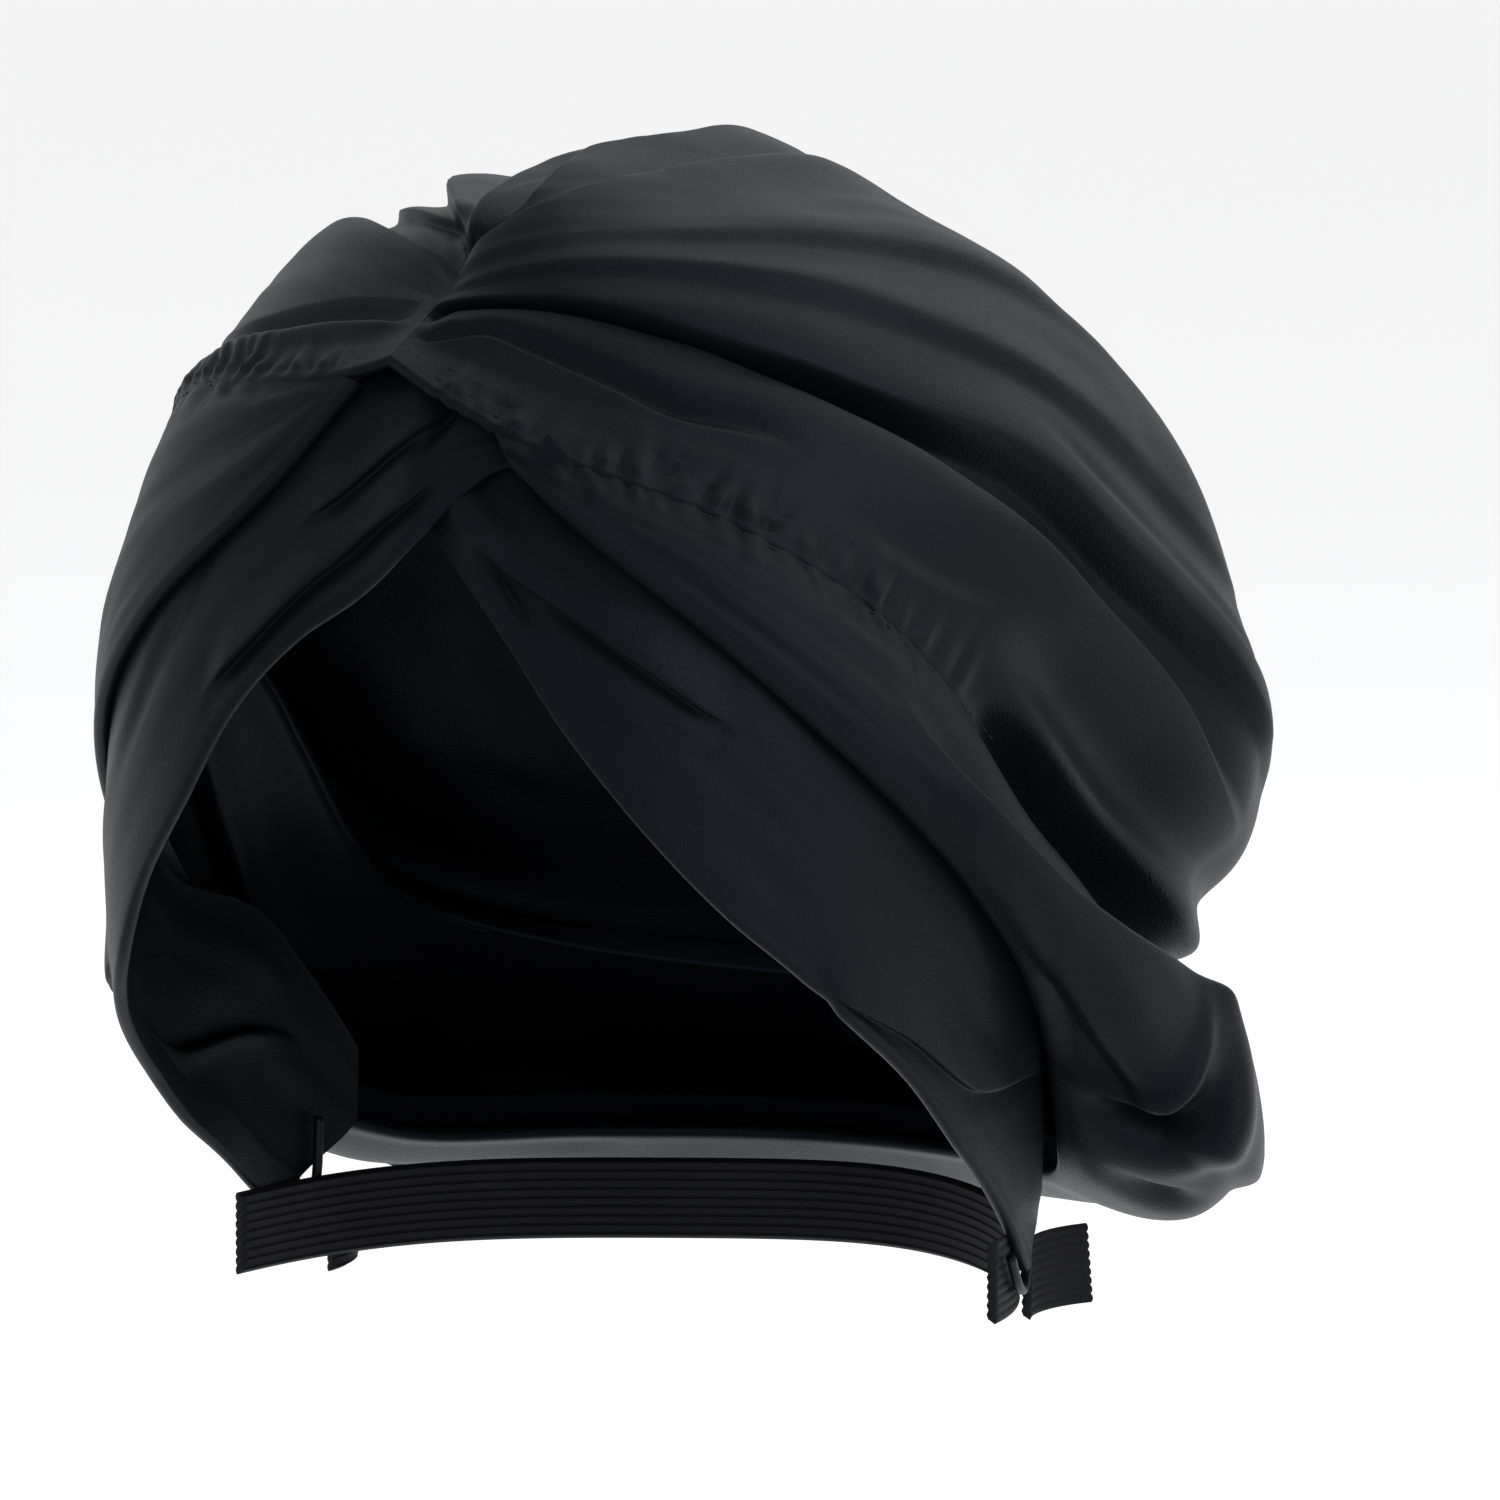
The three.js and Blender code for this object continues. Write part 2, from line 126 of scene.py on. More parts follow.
@dataclass(frozen=True)
class Table:
    """A short table with named columns; the first column is the place that it is read at."""

    columns: tuple[str, ...]
    rows: tuple[tuple[float, ...], ...]

    def read(self, key: str, place: Grid) -> Grid:
        """Read one column between its rows, along a smooth cubic.

        Args:
            key: Name of the column.
            place: Places in the first column's units.

        Returns:
            The column's values there.
        """
        grid = np.array(self.rows, float)
        x, y = grid[:, 0], grid[:, self.columns.index(key)]
        at = np.clip(np.asarray(place, float), x[0], x[-1])
        step = np.diff(x)
        slope = np.diff(y) / step
        tangent = np.concatenate([slope[:1], np.zeros(len(x) - 2), slope[-1:]])
        tangent[1:-1] = (slope[:-1] * step[1:] + slope[1:] * step[:-1]) / (step[:-1] + step[1:])
        i = np.clip(np.searchsorted(x, at) - 1, 0, len(step) - 1)
        t = (at - x[i]) / step[i]
        a, b, rise = tangent[i] * step[i], tangent[i + 1] * step[i], y[i + 1] - y[i]
        return y[i] + a * t + (3 * rise - 2 * a - b) * t**2 + (a + b - 2 * rise) * t**3


@dataclass(frozen=True)
class HeadForm:
    """The head that the wraps hug: an oval plan that closes over the top, in millimetres."""

    half_width: float = 79.0
    front: float = 97.0
    back: float = 104.0
    top: float = 132.0
    waist: float = -20.0
    fullness: float = 2.3

    def place(self, angle: Grid, height: Grid, stand_off: Grid) -> Grid:
        """Points at an angle from the forehead, a height and a distance off the head."""
        turn = np.radians(angle)
        share = np.clip((height - self.waist) / (self.top + stand_off - self.waist), 0, 1)
        close = (1 - share**self.fullness) ** (1 / self.fullness)
        length = np.where(np.cos(turn) > 0, self.front, self.back) + stand_off
        x = (self.half_width + stand_off) * close * np.sin(turn)
        y = -length * close * np.cos(turn)
        return np.stack(np.broadcast_arrays(x, y, height), -1).astype(float)


HEAD = HeadForm()
PLAN_SLOPE = np.array([1 / HEAD.half_width**2, 1 / HEAD.back**2, 0.0])


@dataclass(frozen=True)
class Fold:
    """A ridge that runs along a sheet: a broad slope on one side, a steep lap on the other."""

    name: str
    path: tuple[Pair, ...]
    rise: float
    broad: float
    steep: float
    towards: int = 1
    lap: float = 0.0
    lap_end: float = 0.5
    tuck: float = 0.4
    window: Quad = (-0.02, -0.01, 0.85, 1.0)

    def line(self, along: Grid) -> Grid:
        """Where across the sheet the ridge lies."""
        return Table(("along", "across"), self.path).read("across", along)

    def strength(self, along: Grid) -> Grid:
        """How much of the ridge shows along the sheet."""
        return window(along, self.window)

    def profile(self, t: Grid) -> tuple[Grid, Grid]:
        """Shape across the ridge.

        Args:
            t: Distance past the ridge in millimetres, positive on the steep side.

        Returns:
            Shares of the lift and of the sideways lap.
        """
        slope = np.exp(-((t / self.broad) ** 2))
        drop = smooth(t, 0, self.steep)
        beyond = np.exp(-(((t - self.steep) / (1.7 * self.steep)) ** 2))
        lift = np.where(t < self.steep, 1 - (1 + self.tuck) * drop, -self.tuck * beyond)
        return np.where(t < 0, slope, lift), np.where(t < 0, slope, 1 - drop)


@dataclass(frozen=True)
class Dent:
    """A long soft bump, or a dent where rise is negative, at a place on a sheet."""

    along: float
    across: float
    length: float
    width: float
    turn: float
    rise: float


def value_noise(x: Grid, y: Grid, seed: int) -> Grid:
    """Smooth random values from -1 to 1 on a unit lattice."""
    lattice = np.random.default_rng(seed).uniform(-1, 1, (LATTICE, LATTICE))
    i, j = np.floor(x).astype(int), np.floor(y).astype(int)
    s, t = smooth(x - i), smooth(y - j)
    corner = lambda a, b: lattice[(i + a) % LATTICE, (j + b) % LATTICE]
    low = corner(0, 0) * (1 - s) + corner(1, 0) * s
    high = corner(0, 1) * (1 - s) + corner(1, 1) * s
    return low * (1 - t) + high * t


def unit(vectors: Grid) -> Grid:
    """Vectors scaled to length 1."""
    return vectors / np.maximum(np.linalg.norm(vectors, axis=-1, keepdims=True), 1e-9)


def grid_normals(points: Grid) -> Grid:
    """Unit normals of a grid of points, along rows crossed with columns."""
    return unit(np.cross(np.gradient(points, axis=0), np.gradient(points, axis=1)))


class Mesher:
    """Turns grids of points in millimetres into Blender objects at the origin."""

    CENTRE = np.array([0.0, 15.0, 10.0])

    @staticmethod
    def build(name: str, points: Grid, faces: Grid, uv: Grid) -> Piece:
        """Make a smooth mesh object with outward normals.

        Args:
            name: The object's name.
            points: Vertices in millimetres.
            faces: Quads as vertex numbers.
            uv: Cloth coordinates of each vertex in metres.

        Returns:
            The object, linked to the scene.
        """
        corners = points[faces]
        normal = np.cross(corners[:, 2] - corners[:, 0], corners[:, 3] - corners[:, 1])
        if np.sum(normal * (corners.mean(axis=1) - Mesher.CENTRE)) < 0:
            faces = faces[:, ::-1]
        mesh = bpy.data.meshes.new(name)
        mesh.from_pydata((points * MM).tolist(), [], faces.tolist())
        layer = mesh.uv_layers.new(name="cloth")
        layer.data.foreach_set("uv", uv[faces.ravel()].astype(np.float32).ravel())
        work = bmesh.new()
        work.from_mesh(mesh)
        bmesh.ops.remove_doubles(work, verts=work.verts, dist=2e-6)
        bmesh.ops.dissolve_degenerate(work, edges=work.edges, dist=1e-7)
        work.to_mesh(mesh)
        work.free()
        mesh.polygons.foreach_set("use_smooth", [True] * len(mesh.polygons))
        mesh.update()
        piece = bpy.data.objects.new(name, mesh)
        bpy.context.scene.collection.objects.link(piece)
        return piece

    @staticmethod
    def quads(rows: int, columns: int) -> Grid:
        """Quads of a grid with so many rows and columns of points."""
        index = np.arange(rows * columns).reshape(rows, columns)
        sides = (index[:-1, :-1], index[1:, :-1], index[1:, 1:], index[:-1, 1:])
        return np.stack([side.ravel() for side in sides], -1)

    @staticmethod
    def cloth_uv(points: Grid) -> Grid:
        """Lengths along and across a grid, in metres."""
        steps = [np.linalg.norm(np.diff(points, axis=axis), axis=2).mean(axis=1 - axis) for axis in (0, 1)]
        u, v = (np.concatenate([[0.0], np.cumsum(step)]) * MM for step in steps)
        return np.stack(np.meshgrid(u, v, indexing="ij"), -1).reshape(-1, 2)

    @classmethod
    def sheet(cls, name: str, points: Grid) -> Piece:
        """A single layer of cloth from a grid of points."""
        faces = cls.quads(*points.shape[:2])
        return cls.build(name, points.reshape(-1, 3), faces, cls.cloth_uv(points))

    @classmethod
    def slab(cls, name: str, points: Grid, wall: float) -> Piece:
        """A closed slab whose outer face is a grid of points.

        Args:
            name: The object's name.
            points: Grid of the outer face in millimetres.
            wall: Thickness in millimetres.

        Returns:
            The object.
        """
        normals = grid_normals(points)
        outward = np.sign(np.sum(normals * (points - cls.CENTRE)))
        inner = points - normals * wall * outward
        rows, columns = points.shape[:2]
        ring = np.concatenate([points, inner[:, ::-1], points[:, :1]], axis=1)
        body = cls.quads(*ring.shape[:2])
        width = ring.shape[1]
        caps = []
        for row in (0, rows - 1):
            top = row * width + np.arange(columns)
            under = row * width + 2 * columns - 1 - np.arange(columns)
            cap = np.stack([top[:-1], top[1:], under[1:], under[:-1]], -1)
            caps.append(cap if row == 0 else cap[:, ::-1])
        faces = np.concatenate([body, *caps])
        return cls.build(name, ring.reshape(-1, 3), faces, cls.cloth_uv(ring))


@dataclass(frozen=True)
class Wrinkles:
    """Fine uneven relief of a sheet: waves that follow its folds."""

    BROAD_CELL = (42.0, 13.0)
    FINE_CELL = (17.0, 5.0)
    broad: float
    fine: float
    seed: int

    def lift(self, along_mm: Grid, across_mm: Grid) -> Grid:
        """Height of the relief in millimetres."""
        cells = (self.BROAD_CELL, self.FINE_CELL)
        broad, fine = (
            value_noise(along_mm / a, across_mm / b, self.seed + i) for i, (a, b) in enumerate(cells)
        )
        return self.broad * broad + self.fine * fine


class FoldedSheet:
    """A sheet of cloth over a plain form, with folds, dents and wrinkles."""

    folds: tuple[Fold, ...] = ()
    dents: tuple[Dent, ...] = ()
    wrinkles: Wrinkles = Wrinkles(0.5, 0.2, SEED)
    full_width: float = 95.0
    edge_fade: Pair = (12.0, 12.0)
    first_across: float = 0.0
    step: float = 0.004

    def form(self, along: Grid, across: Grid) -> Grid:
        """The plain form, before its folds, in millimetres."""
        raise NotImplementedError

    def fade(self, along: Grid, across: Grid) -> Grid:
        """How much of the folds shows at each place."""
        return np.ones_like(along)

    def extra_lift(self, along: Grid, low: Grid, high: Grid, plain: Grid) -> Grid:
        """Further lift, given each place's distances from the sheet's two edges."""
        return np.zeros_like(along)

    def sink(self, along: Grid, low: Grid, high: Grid) -> Grid:
        """Further move near the sheet's two edges, as vectors."""
        return np.zeros((*along.shape, 3))

    def shape(self, along: Grid, across: Grid) -> Grid:
        """Lay the folds on the form.

        Args:
            along: Places along the sheet.
            across: Places across it.

        Returns:
            Grid of points in millimetres.
        """
        v = np.broadcast_to(across, (len(along), across.shape[-1]))
        u = along[:, None] + 0 * v
        plain = self.form(u, v)
        steps = np.linalg.norm(np.diff(plain, axis=1), axis=2)
        reach = np.concatenate([np.zeros((len(along), 1)), np.cumsum(steps, axis=1)], axis=1)
        rate = np.maximum(np.gradient(reach, axis=1) / np.gradient(v, axis=1), 5.0)
        run = run_length(plain[:, v.shape[1] // 2])
        room = reach[:, -1:] / (2 * self.full_width)
        scale = room / (1 + room**4) ** 0.25
        width = float(reach[:, -1].mean()) / (v[0, -1] - v[0, 0])
        lift = self.wrinkles.lift(run[:, None] + 0 * u, (v - v[0, 0]) * width)
        shift = np.zeros_like(u)
        for fold in self.folds:
            line = fold.line(along)
            crest = np.array([np.interp(p, place, row) for p, place, row in zip(line, v, reach)])[:, None]
            t = (reach - crest) * fold.towards / scale
            height, lap = fold.profile(t)
            strength = fold.strength(u) * scale
            lift += fold.rise * strength * height
            lap_share = 1 - smooth(u, 0.6 * fold.lap_end, fold.lap_end)
            shift += fold.towards * fold.lap * strength * lap_share * lap
        for dent in self.dents:
            lift += self.dent_lift(dent, along, v, run, reach)
        low, high = reach, reach[:, -1:] - reach
        near = smooth(low, 0, self.edge_fade[0]) * smooth(high, 0, self.edge_fade[1])
        share = near * self.fade(u, v)
        moved = np.clip(v + shift * share / rate, v[0, 0], v[0, -1])
        out = self.outward(u, moved)
        total = lift * share + self.extra_lift(u, low, high, plain)
        return self.form(u, moved) + out * total[..., None] + self.sink(u, low, high)

    def outward(self, u: Grid, v: Grid) -> Grid:
        """Outward unit normals of the plain form, one-sided at its edges.

        Args:
            u: Places along the sheet.
            v: Places across it.

        Returns:
            A unit vector for each place.
        """
        first, step = self.first_across, self.step
        forward = self.form(np.clip(u + step, 0, 1), v) - self.form(np.clip(u - step, 0, 1), v)
        sideways = self.form(u, np.clip(v + step, first, 1)) - self.form(u, np.clip(v - step, first, 1))
        normal = unit(np.cross(sideways, forward))
        facing = np.sum(normal * (self.form(u, v) - Mesher.CENTRE), axis=-1)
        return normal * np.where(np.median(facing) < 0, -1.0, 1.0)

    @staticmethod
    def dent_lift(
        dent: Dent, along: Grid, across: Grid, run: Grid, reach: Grid
    ) -> Grid:
        """Lift of one dent over the whole sheet.

        Args:
            dent: The dent.
            along: Places of the rows along the sheet.
            across: Places across each row.
            run: Lengths along the sheet in millimetres.
            reach: Lengths across each row in millimetres.

        Returns:
            Lift in millimetres.
        """
        centre = np.interp(dent.along, along, run)
        i = int(np.argmin(np.abs(along - dent.along)))
        x = run[:, None] - centre
        y = reach - np.interp(dent.across, across[i], reach[i])
        turn = math.radians(dent.turn)
        a = x * math.cos(turn) + y * math.sin(turn)
        b = y * math.cos(turn) - x * math.sin(turn)
        return dent.rise * np.exp(-((a / dent.length) ** 2) - (b / dent.width) ** 2)


def hem(
    points: Grid, radius: float, at_end: bool, steps: int = 6, tuck: float = 4.0, inward: float = 0.0
) -> Grid:
    """Roll one edge of a grid inwards, as a turned hem.

    Args:
        points: Grid of points, edges along its columns' ends.
        radius: Radius of the roll in millimetres.
        at_end: True for the last column, False for the first.
        steps: Divisions of the roll.
        tuck: How far the turned cloth runs back inside.
        inward: How far it also leans towards the head.

    Returns:
        The grid with the turned columns added.
    """
    edge, before = (points[:, -1], points[:, -3]) if at_end else (points[:, 0], points[:, 2])
    normals = grid_normals(points)[:, -2 if at_end else 1]
    outward = np.sign(np.sum(normals * (edge - Mesher.CENTRE)))
    normals = normals * outward
    down = unit(edge - before)
    turned = []
    for step in range(1, steps + 1):
        turn = math.pi * step / steps
        turned.append(edge + down * radius * math.sin(turn) - normals * radius * (1 - math.cos(turn)))
    turned.append(turned[-1] - down * tuck - normals * inward)
    added = np.stack(turned, axis=1)
    return np.concatenate([points, added] if at_end else [added[:, ::-1], points], axis=1)


CREST = Table(
    ("at", "y", "z", "fullness", "spread"),
    (
        (0.0, -40, 121, 2.0, 0.0), (0.04, -34, 125, 2.0, 0.03), (0.1, -22, 129, 1.95, 0.02),
        (0.22, 4, 133, 1.9, 0.0), (0.35, 34, 135, 1.95, 0.02), (0.48, 68, 134, 2.1, 0.08),
        (0.62, 100, 122, 2.2, 0.18), (0.76, 129, 93, 2.2, 0.25), (0.89, 150, 53, 2.1, 0.24),
        (1.0, 160, 6, 2.0, 0.0),
    ),
)

SEAM = {
    Side.LEFT: Table(
        ("at", "x", "y", "z"),
        (
            (0.0, 0, -75, 107), (0.04, 10, -78, 102), (0.1, 27, -76, 93), (0.22, 57, -57, 79),
            (0.35, 76, -31, 61), (0.48, 84, 0, 38), (0.62, 85, 42, 10), (0.76, 85, 86, -15),
            (0.89, 60, 122, -28), (1.0, 0, 138, -33),
        ),
    ),
    Side.RIGHT: Table(
        ("at", "x", "y", "z"),
        (
            (0.0, 0, -75, 107), (0.04, -10, -75, 104), (0.1, -26, -70, 102), (0.22, -54, -48, 98),
            (0.35, -73, -20, 84), (0.48, -83, 8, 55), (0.62, -85, 46, 18), (0.76, -85, 88, -12),
            (0.89, -60, 122, -27), (1.0, 0, 138, -33),
        ),
    ),
}


def seam_point(at: Grid, side: Side) -> Grid:
    """Places on the seam between the crown and the wraps."""
    return np.stack([SEAM[side].read(axis, at) for axis in ("x", "y", "z")], -1)


HOLLOW = {Side.LEFT: (0.45, 0.56, 0.7, 0.82), Side.RIGHT: (0.48, 0.58, 0.7, 0.82)}
HOLLOW_DEPTH = 8.0


def seam_sink(at: Grid, side: Side, distance: Grid, width: float) -> Grid:
    """The hollow that the seam lies in behind the ear, as moves towards the head.

    Args:
        at: Places along the seam.
        side: Which seam.
        distance: Distances from it in millimetres.
        width: How far the hollow reaches from the seam.

    Returns:
        Moves in millimetres.
    """
    depth = HOLLOW_DEPTH * window(at, HOLLOW[side])
    outward = unit(seam_point(at, side) * PLAN_SLOPE)
    return -outward * bell(distance, depth, 0.0, width)[..., None]


@dataclass(frozen=True)
class Puckers:
    """Small gathered bulges along a seam, closer and smaller towards its front."""

    JITTER = (0.65, 1.4)
    SIZES = (0.15, 1.0)
    LEAN = 0.35
    DIP = 0.45
    FADE_IN, FADE_OUT = 0.03, 0.12
    spacing: Pair
    rise: float
    height: Pair
    start: float
    end: float
    seed: int

    def lift(self, along: Grid, run: Grid, distance: Grid) -> Grid:
        """Height of the bulges.

        Args:
            along: Places along the sheet.
            run: Lengths along the seam in millimetres.
            distance: Distances from the seam in millimetres.

        Returns:
            Lift in millimetres.
        """
        rng = np.random.default_rng(self.seed)
        total = float(run.max()) + 1
        marks = [0.0]
        while marks[-1] < total:
            share = marks[-1] / total
            low, high = self.spacing
            marks.append(marks[-1] + (low + (high - low) * share) * rng.uniform(*self.JITTER))
        marks = np.array(marks)
        size, reach = rng.uniform(*self.SIZES, len(marks)), rng.uniform(*self.height, len(marks))
        lean = rng.uniform(-self.LEAN, self.LEAN, len(marks))
        nearest = np.clip(np.searchsorted(marks, run) - 1, 0, len(marks) - 2)
        place = np.clip(run + lean[nearest] * distance, 0, total)
        i = np.clip(np.searchsorted(marks, place) - 1, 0, len(marks) - 2)
        share = (place - marks[i]) / (marks[i + 1] - marks[i])
        bulge = np.abs(np.sin(math.pi * share)) ** 1.5 - self.DIP
        fall = np.exp(-((distance / reach[i]) ** 2)) * (0.25 + 0.75 * smooth(distance, 0, 3))
        span = (self.start, self.start + self.FADE_IN, self.end - self.FADE_OUT, self.end)
        return self.rise * size[i] * bulge * fall * window(along, span)


class Crown(FoldedSheet):
    """The full crown: gathered at the forehead, in deep folds to the back of the head."""

    first_across = -1.0
    sag = 2.4
    foot_span = (0.46, 0.55, 0.8, 0.92)
    foot_roll = (3.5, 7.0, 3.5)
    foot_hollow = (-3.0, 16.0, 6.0)
    seam_width = 4.0
    hem_radius = 1.1
    spans = (85, 80, 30, 75, 55, 80)
    rows = 225
    crowding = 1.35
    wrinkles = Wrinkles(0.7, 0.28, SEED)
    nose = {Side.LEFT: 0.03, Side.RIGHT: 0.06}
    puckers = {
        Side.LEFT: Puckers((5.0, 15.0), 3.6, (4.0, 9.0), 0.03, 0.52, SEED + 5),
        Side.RIGHT: Puckers((5.0, 13.0), 3.0, (4.0, 9.0), 0.03, 0.5, SEED + 6),
    }
    folds = (
        Fold("left_roll", ((0.0, 0.66), (0.05, 0.62), (0.085, 0.61), (0.13, 0.62), (0.185, 0.65),
             (0.27, 0.67), (0.38, 0.7), (0.48, 0.725), (0.56, 0.76), (0.66, 0.775), (0.76, 0.79),
             (1.0, 0.76)), 5.5, 20, 5.0, 1, 4.0, 0.45, 0.5, (-0.02, -0.01, 0.6, 0.85)),
        Fold("left_ledge", ((0.0, 0.77), (0.05, 0.71), (0.17, 0.71), (0.23, 0.74), (0.29, 0.765),
             (0.34, 0.78), (0.42, 0.81), (0.48, 0.83), (0.54, 0.85), (0.6, 0.86), (0.65, 0.87),
             (0.7, 0.89), (1.0, 0.88)), 4.5, 17, 5.0, -1, 2.5, 0.9, 0.5, (0.0, 0.03, 0.62, 0.78)),
        Fold("left_front_crease", ((0.0, 0.86), (0.03, 0.82), (0.05, 0.78), (0.08, 0.78), (0.13, 0.8),
             (0.17, 0.83), (0.23, 0.83), (0.3, 0.85)), -3.2, 3.0, 3.5, 1, 0.0, 0.5, 0,
             (0.0, 0.02, 0.17, 0.28)),
        Fold("left_side_crease", ((0.3, 0.905), (0.42, 0.905), (0.5, 0.88)),
             -1.5, 5.0, 5.0, 1, 0.0, 0.5, 0, (0.28, 0.39, 0.41, 0.52)),
        Fold("left_thin_crease", ((0.45, 0.66), (0.56, 0.71), (0.7, 0.735), (1.0, 0.72)),
             -1.4, 3.5, 3.0, 1, 0.0, 0.5, 0, (0.46, 0.54, 0.7, 0.8)),
        Fold("upper_pleat", ((0.0, 0.47), (0.1, 0.44), (0.3, 0.43), (0.6, 0.49), (1.0, 0.5)),
             2.0, 9, 6, 1, 0.0, 0.5, 0.3, (-0.02, 0.02, 0.4, 0.7)),
        Fold("middle_pleat", ((0.0, 0.56), (0.1, 0.52), (0.25, 0.54), (0.45, 0.6), (0.7, 0.63),
             (1.0, 0.62)), 1.8, 9, 5, 1, 0.0, 0.5, 0.35, (-0.02, 0.02, 0.55, 0.85)),
        Fold("left_upper", ((0.0, 0.47), (0.35, 0.47), (0.7, 0.5), (1.0, 0.5)),
             8.0, 34, 40, 1, 0.0, 0.5, 0, (-0.02, 0.1, 0.7, 0.95)),
        Fold("top_lap", ((0.0, 0.36), (0.02, 0.345), (0.05, 0.31), (0.09, 0.23), (0.19, 0.11),
             (0.4, 0.05), (1.0, 0.02)), 6.0, 17, 4.5, -1, 4.5, 0.35, 0.45, (-0.02, -0.01, 0.5, 0.9)),
        Fold("top_second", ((0.0, 0.42), (0.08, 0.345), (0.15, 0.285), (0.3, 0.2), (0.6, 0.16),
             (1.0, 0.12)), 1.8, 7, 2.6, -1, 1.5, 0.4, 0.3, (0.0, 0.03, 0.4, 0.7)),
        Fold("top_fore", ((0.0, 0.05), (0.1, -0.03), (0.35, -0.07), (1.0, -0.1)),
             5.0, 13, 7, -1, 2.0, 0.4, 0.4, (0.0, 0.04, 0.6, 0.95)),
        Fold("right_crest", ((0.0, -0.1), (0.08, -0.18), (0.22, -0.27), (0.31, -0.3), (1.0, -0.32)),
             4.5, 8, 3.5, -1, 1.5, 0.4, 0.35, (0.0, 0.04, 0.45, 0.9)),
        Fold("right_branch", ((0.05, -0.16), (0.09, -0.2), (0.14, -0.29), (0.21, -0.36), (0.4, -0.42)),
             2.2, 6, 3.0, -1, 1.0, 0.4, 0.3, (0.06, 0.1, 0.3, 0.4)),
        Fold("right_lap", ((0.0, -0.38), (0.03, -0.4), (0.07, -0.45), (0.13, -0.48), (0.23, -0.51),
             (0.28, -0.55), (1.0, -0.55)), 4.5, 13, 3.5, 1, 3.5, 0.5, 0.45, (-0.02, 0.0, 0.5, 0.9)),
        Fold("right_trough", ((0.0, -0.66), (0.07, -0.71), (0.1, -0.74), (0.16, -0.8), (0.21, -0.85),
             (0.3, -0.86)), -4.5, 6, 6, 1, 0.0, 0.5, 0, (0.0, 0.04, 0.3, 0.5)),
        Fold("right_puff", ((0.0, -0.76), (0.05, -0.79), (0.08, -0.81), (0.12, -0.85), (0.3, -0.9)),
             3.0, 6, 5, 1, 0.0, 0.5, 0.2, (0.0, 0.04, 0.4, 0.7)),
    )
    dents = (
        Dent(0.62, 0.42, 16, 7, 25, -2.5),
        Dent(0.72, 0.2, 24, 9, 15, -3.0),
        Dent(0.78, -0.3, 26, 10, -15, -3.5),
        Dent(0.6, -0.6, 28, 9, 10, -3.5),
        Dent(0.86, 0.5, 22, 8, 40, -3.0),
        Dent(0.86, -0.62, 22, 8, -40, -3.0),
    )

    def form(self, along: Grid, across: Grid) -> Grid:
        """The plain arches; across runs from -1 at the right seam to 1 at the left."""
        left = (across >= 0)[..., None]
        seam = np.where(left, seam_point(along, Side.LEFT), seam_point(along, Side.RIGHT))
        crest = {key: CREST.read(key, along) for key in ("y", "z", "fullness", "spread")}
        part = np.clip(np.abs(across), 0, 1)
        turn = part * math.pi / 2
        power = 2 / crest["fullness"]
        side = np.sin(turn) ** power * (1 + crest["spread"] * np.sin(math.pi * part**self.sag))
        up = np.clip(np.cos(turn), 0, 1) ** power
        y = seam[..., 1] + (crest["y"] - seam[..., 1]) * up
        z = seam[..., 2] + (crest["z"] - seam[..., 2]) * up
        return np.stack([seam[..., 0] * side, y, z], -1)

    def fade(self, along: Grid, across: Grid) -> Grid:
        """Folds start in round noses at the gather and close at the back."""
        def nose(size: float) -> Grid:
            """Round start of the folds over a share of the length."""
            return np.sqrt(1 - (1 - np.clip(along / size, 0, 1)) ** 2)

        left = smooth(across, -0.1, 0.1)
        start = nose(self.nose[Side.LEFT]) * left + nose(self.nose[Side.RIGHT]) * (1 - left)
        return start * smooth(1 - along, 0, 0.08)

    def extra_lift(self, along: Grid, low: Grid, high: Grid, plain: Grid) -> Grid:
        """Puckers along both seams and the rolled foot of the crown behind the ears."""
        total = np.zeros_like(along)
        for side, distance, edge in ((Side.LEFT, high, -1), (Side.RIGHT, low, 0)):
            run = run_length(plain[:, edge])[:, None] + 0 * along
            total += self.puckers[side].lift(along, run, distance)
            foot = bell(distance, *self.foot_roll) + bell(distance, *self.foot_hollow)
            total += window(along, self.foot_span) * foot
        return total * smooth(along, 0, 0.03) * smooth(1 - along, 0, 0.05)

    def sink(self, along: Grid, low: Grid, high: Grid) -> Grid:
        """The hollow along both seams."""
        left = seam_sink(along, Side.LEFT, high, self.seam_width)
        return left + seam_sink(along, Side.RIGHT, low, self.seam_width)

    def columns(self, along: Grid) -> Grid:
        """Places across each row, so that columns of points follow the main laps."""
        lines = {fold.name: fold.line(along) for fold in self.folds}
        marks = [-1 + 0 * along, lines["right_lap"], 0 * along, lines["top_lap"]]
        marks += [lines["left_roll"], lines["left_ledge"], 1 + 0 * along]
        spans = [int(n * DETAIL) for n in self.spans]
        parts = [
            low[:, None] + (high - low)[:, None] * np.linspace(0, 1, n, endpoint=False)
            for low, high, n in zip(marks, marks[1:], spans)
        ]
        return np.concatenate([*parts, marks[-1][:, None]], axis=1)

    def build(self) -> Piece:
        """The crown's cloth as one layer with turned hems."""
        along = np.linspace(0, 1, int(self.rows * DETAIL) + 1) ** self.crowding
        points = self.shape(along, self.columns(along))
        points[[0, -1], :, 0] = 0.0
        points = hem(hem(points, self.hem_radius, True), self.hem_radius, False)
        return Mesher.sheet("crown_cloth", points)


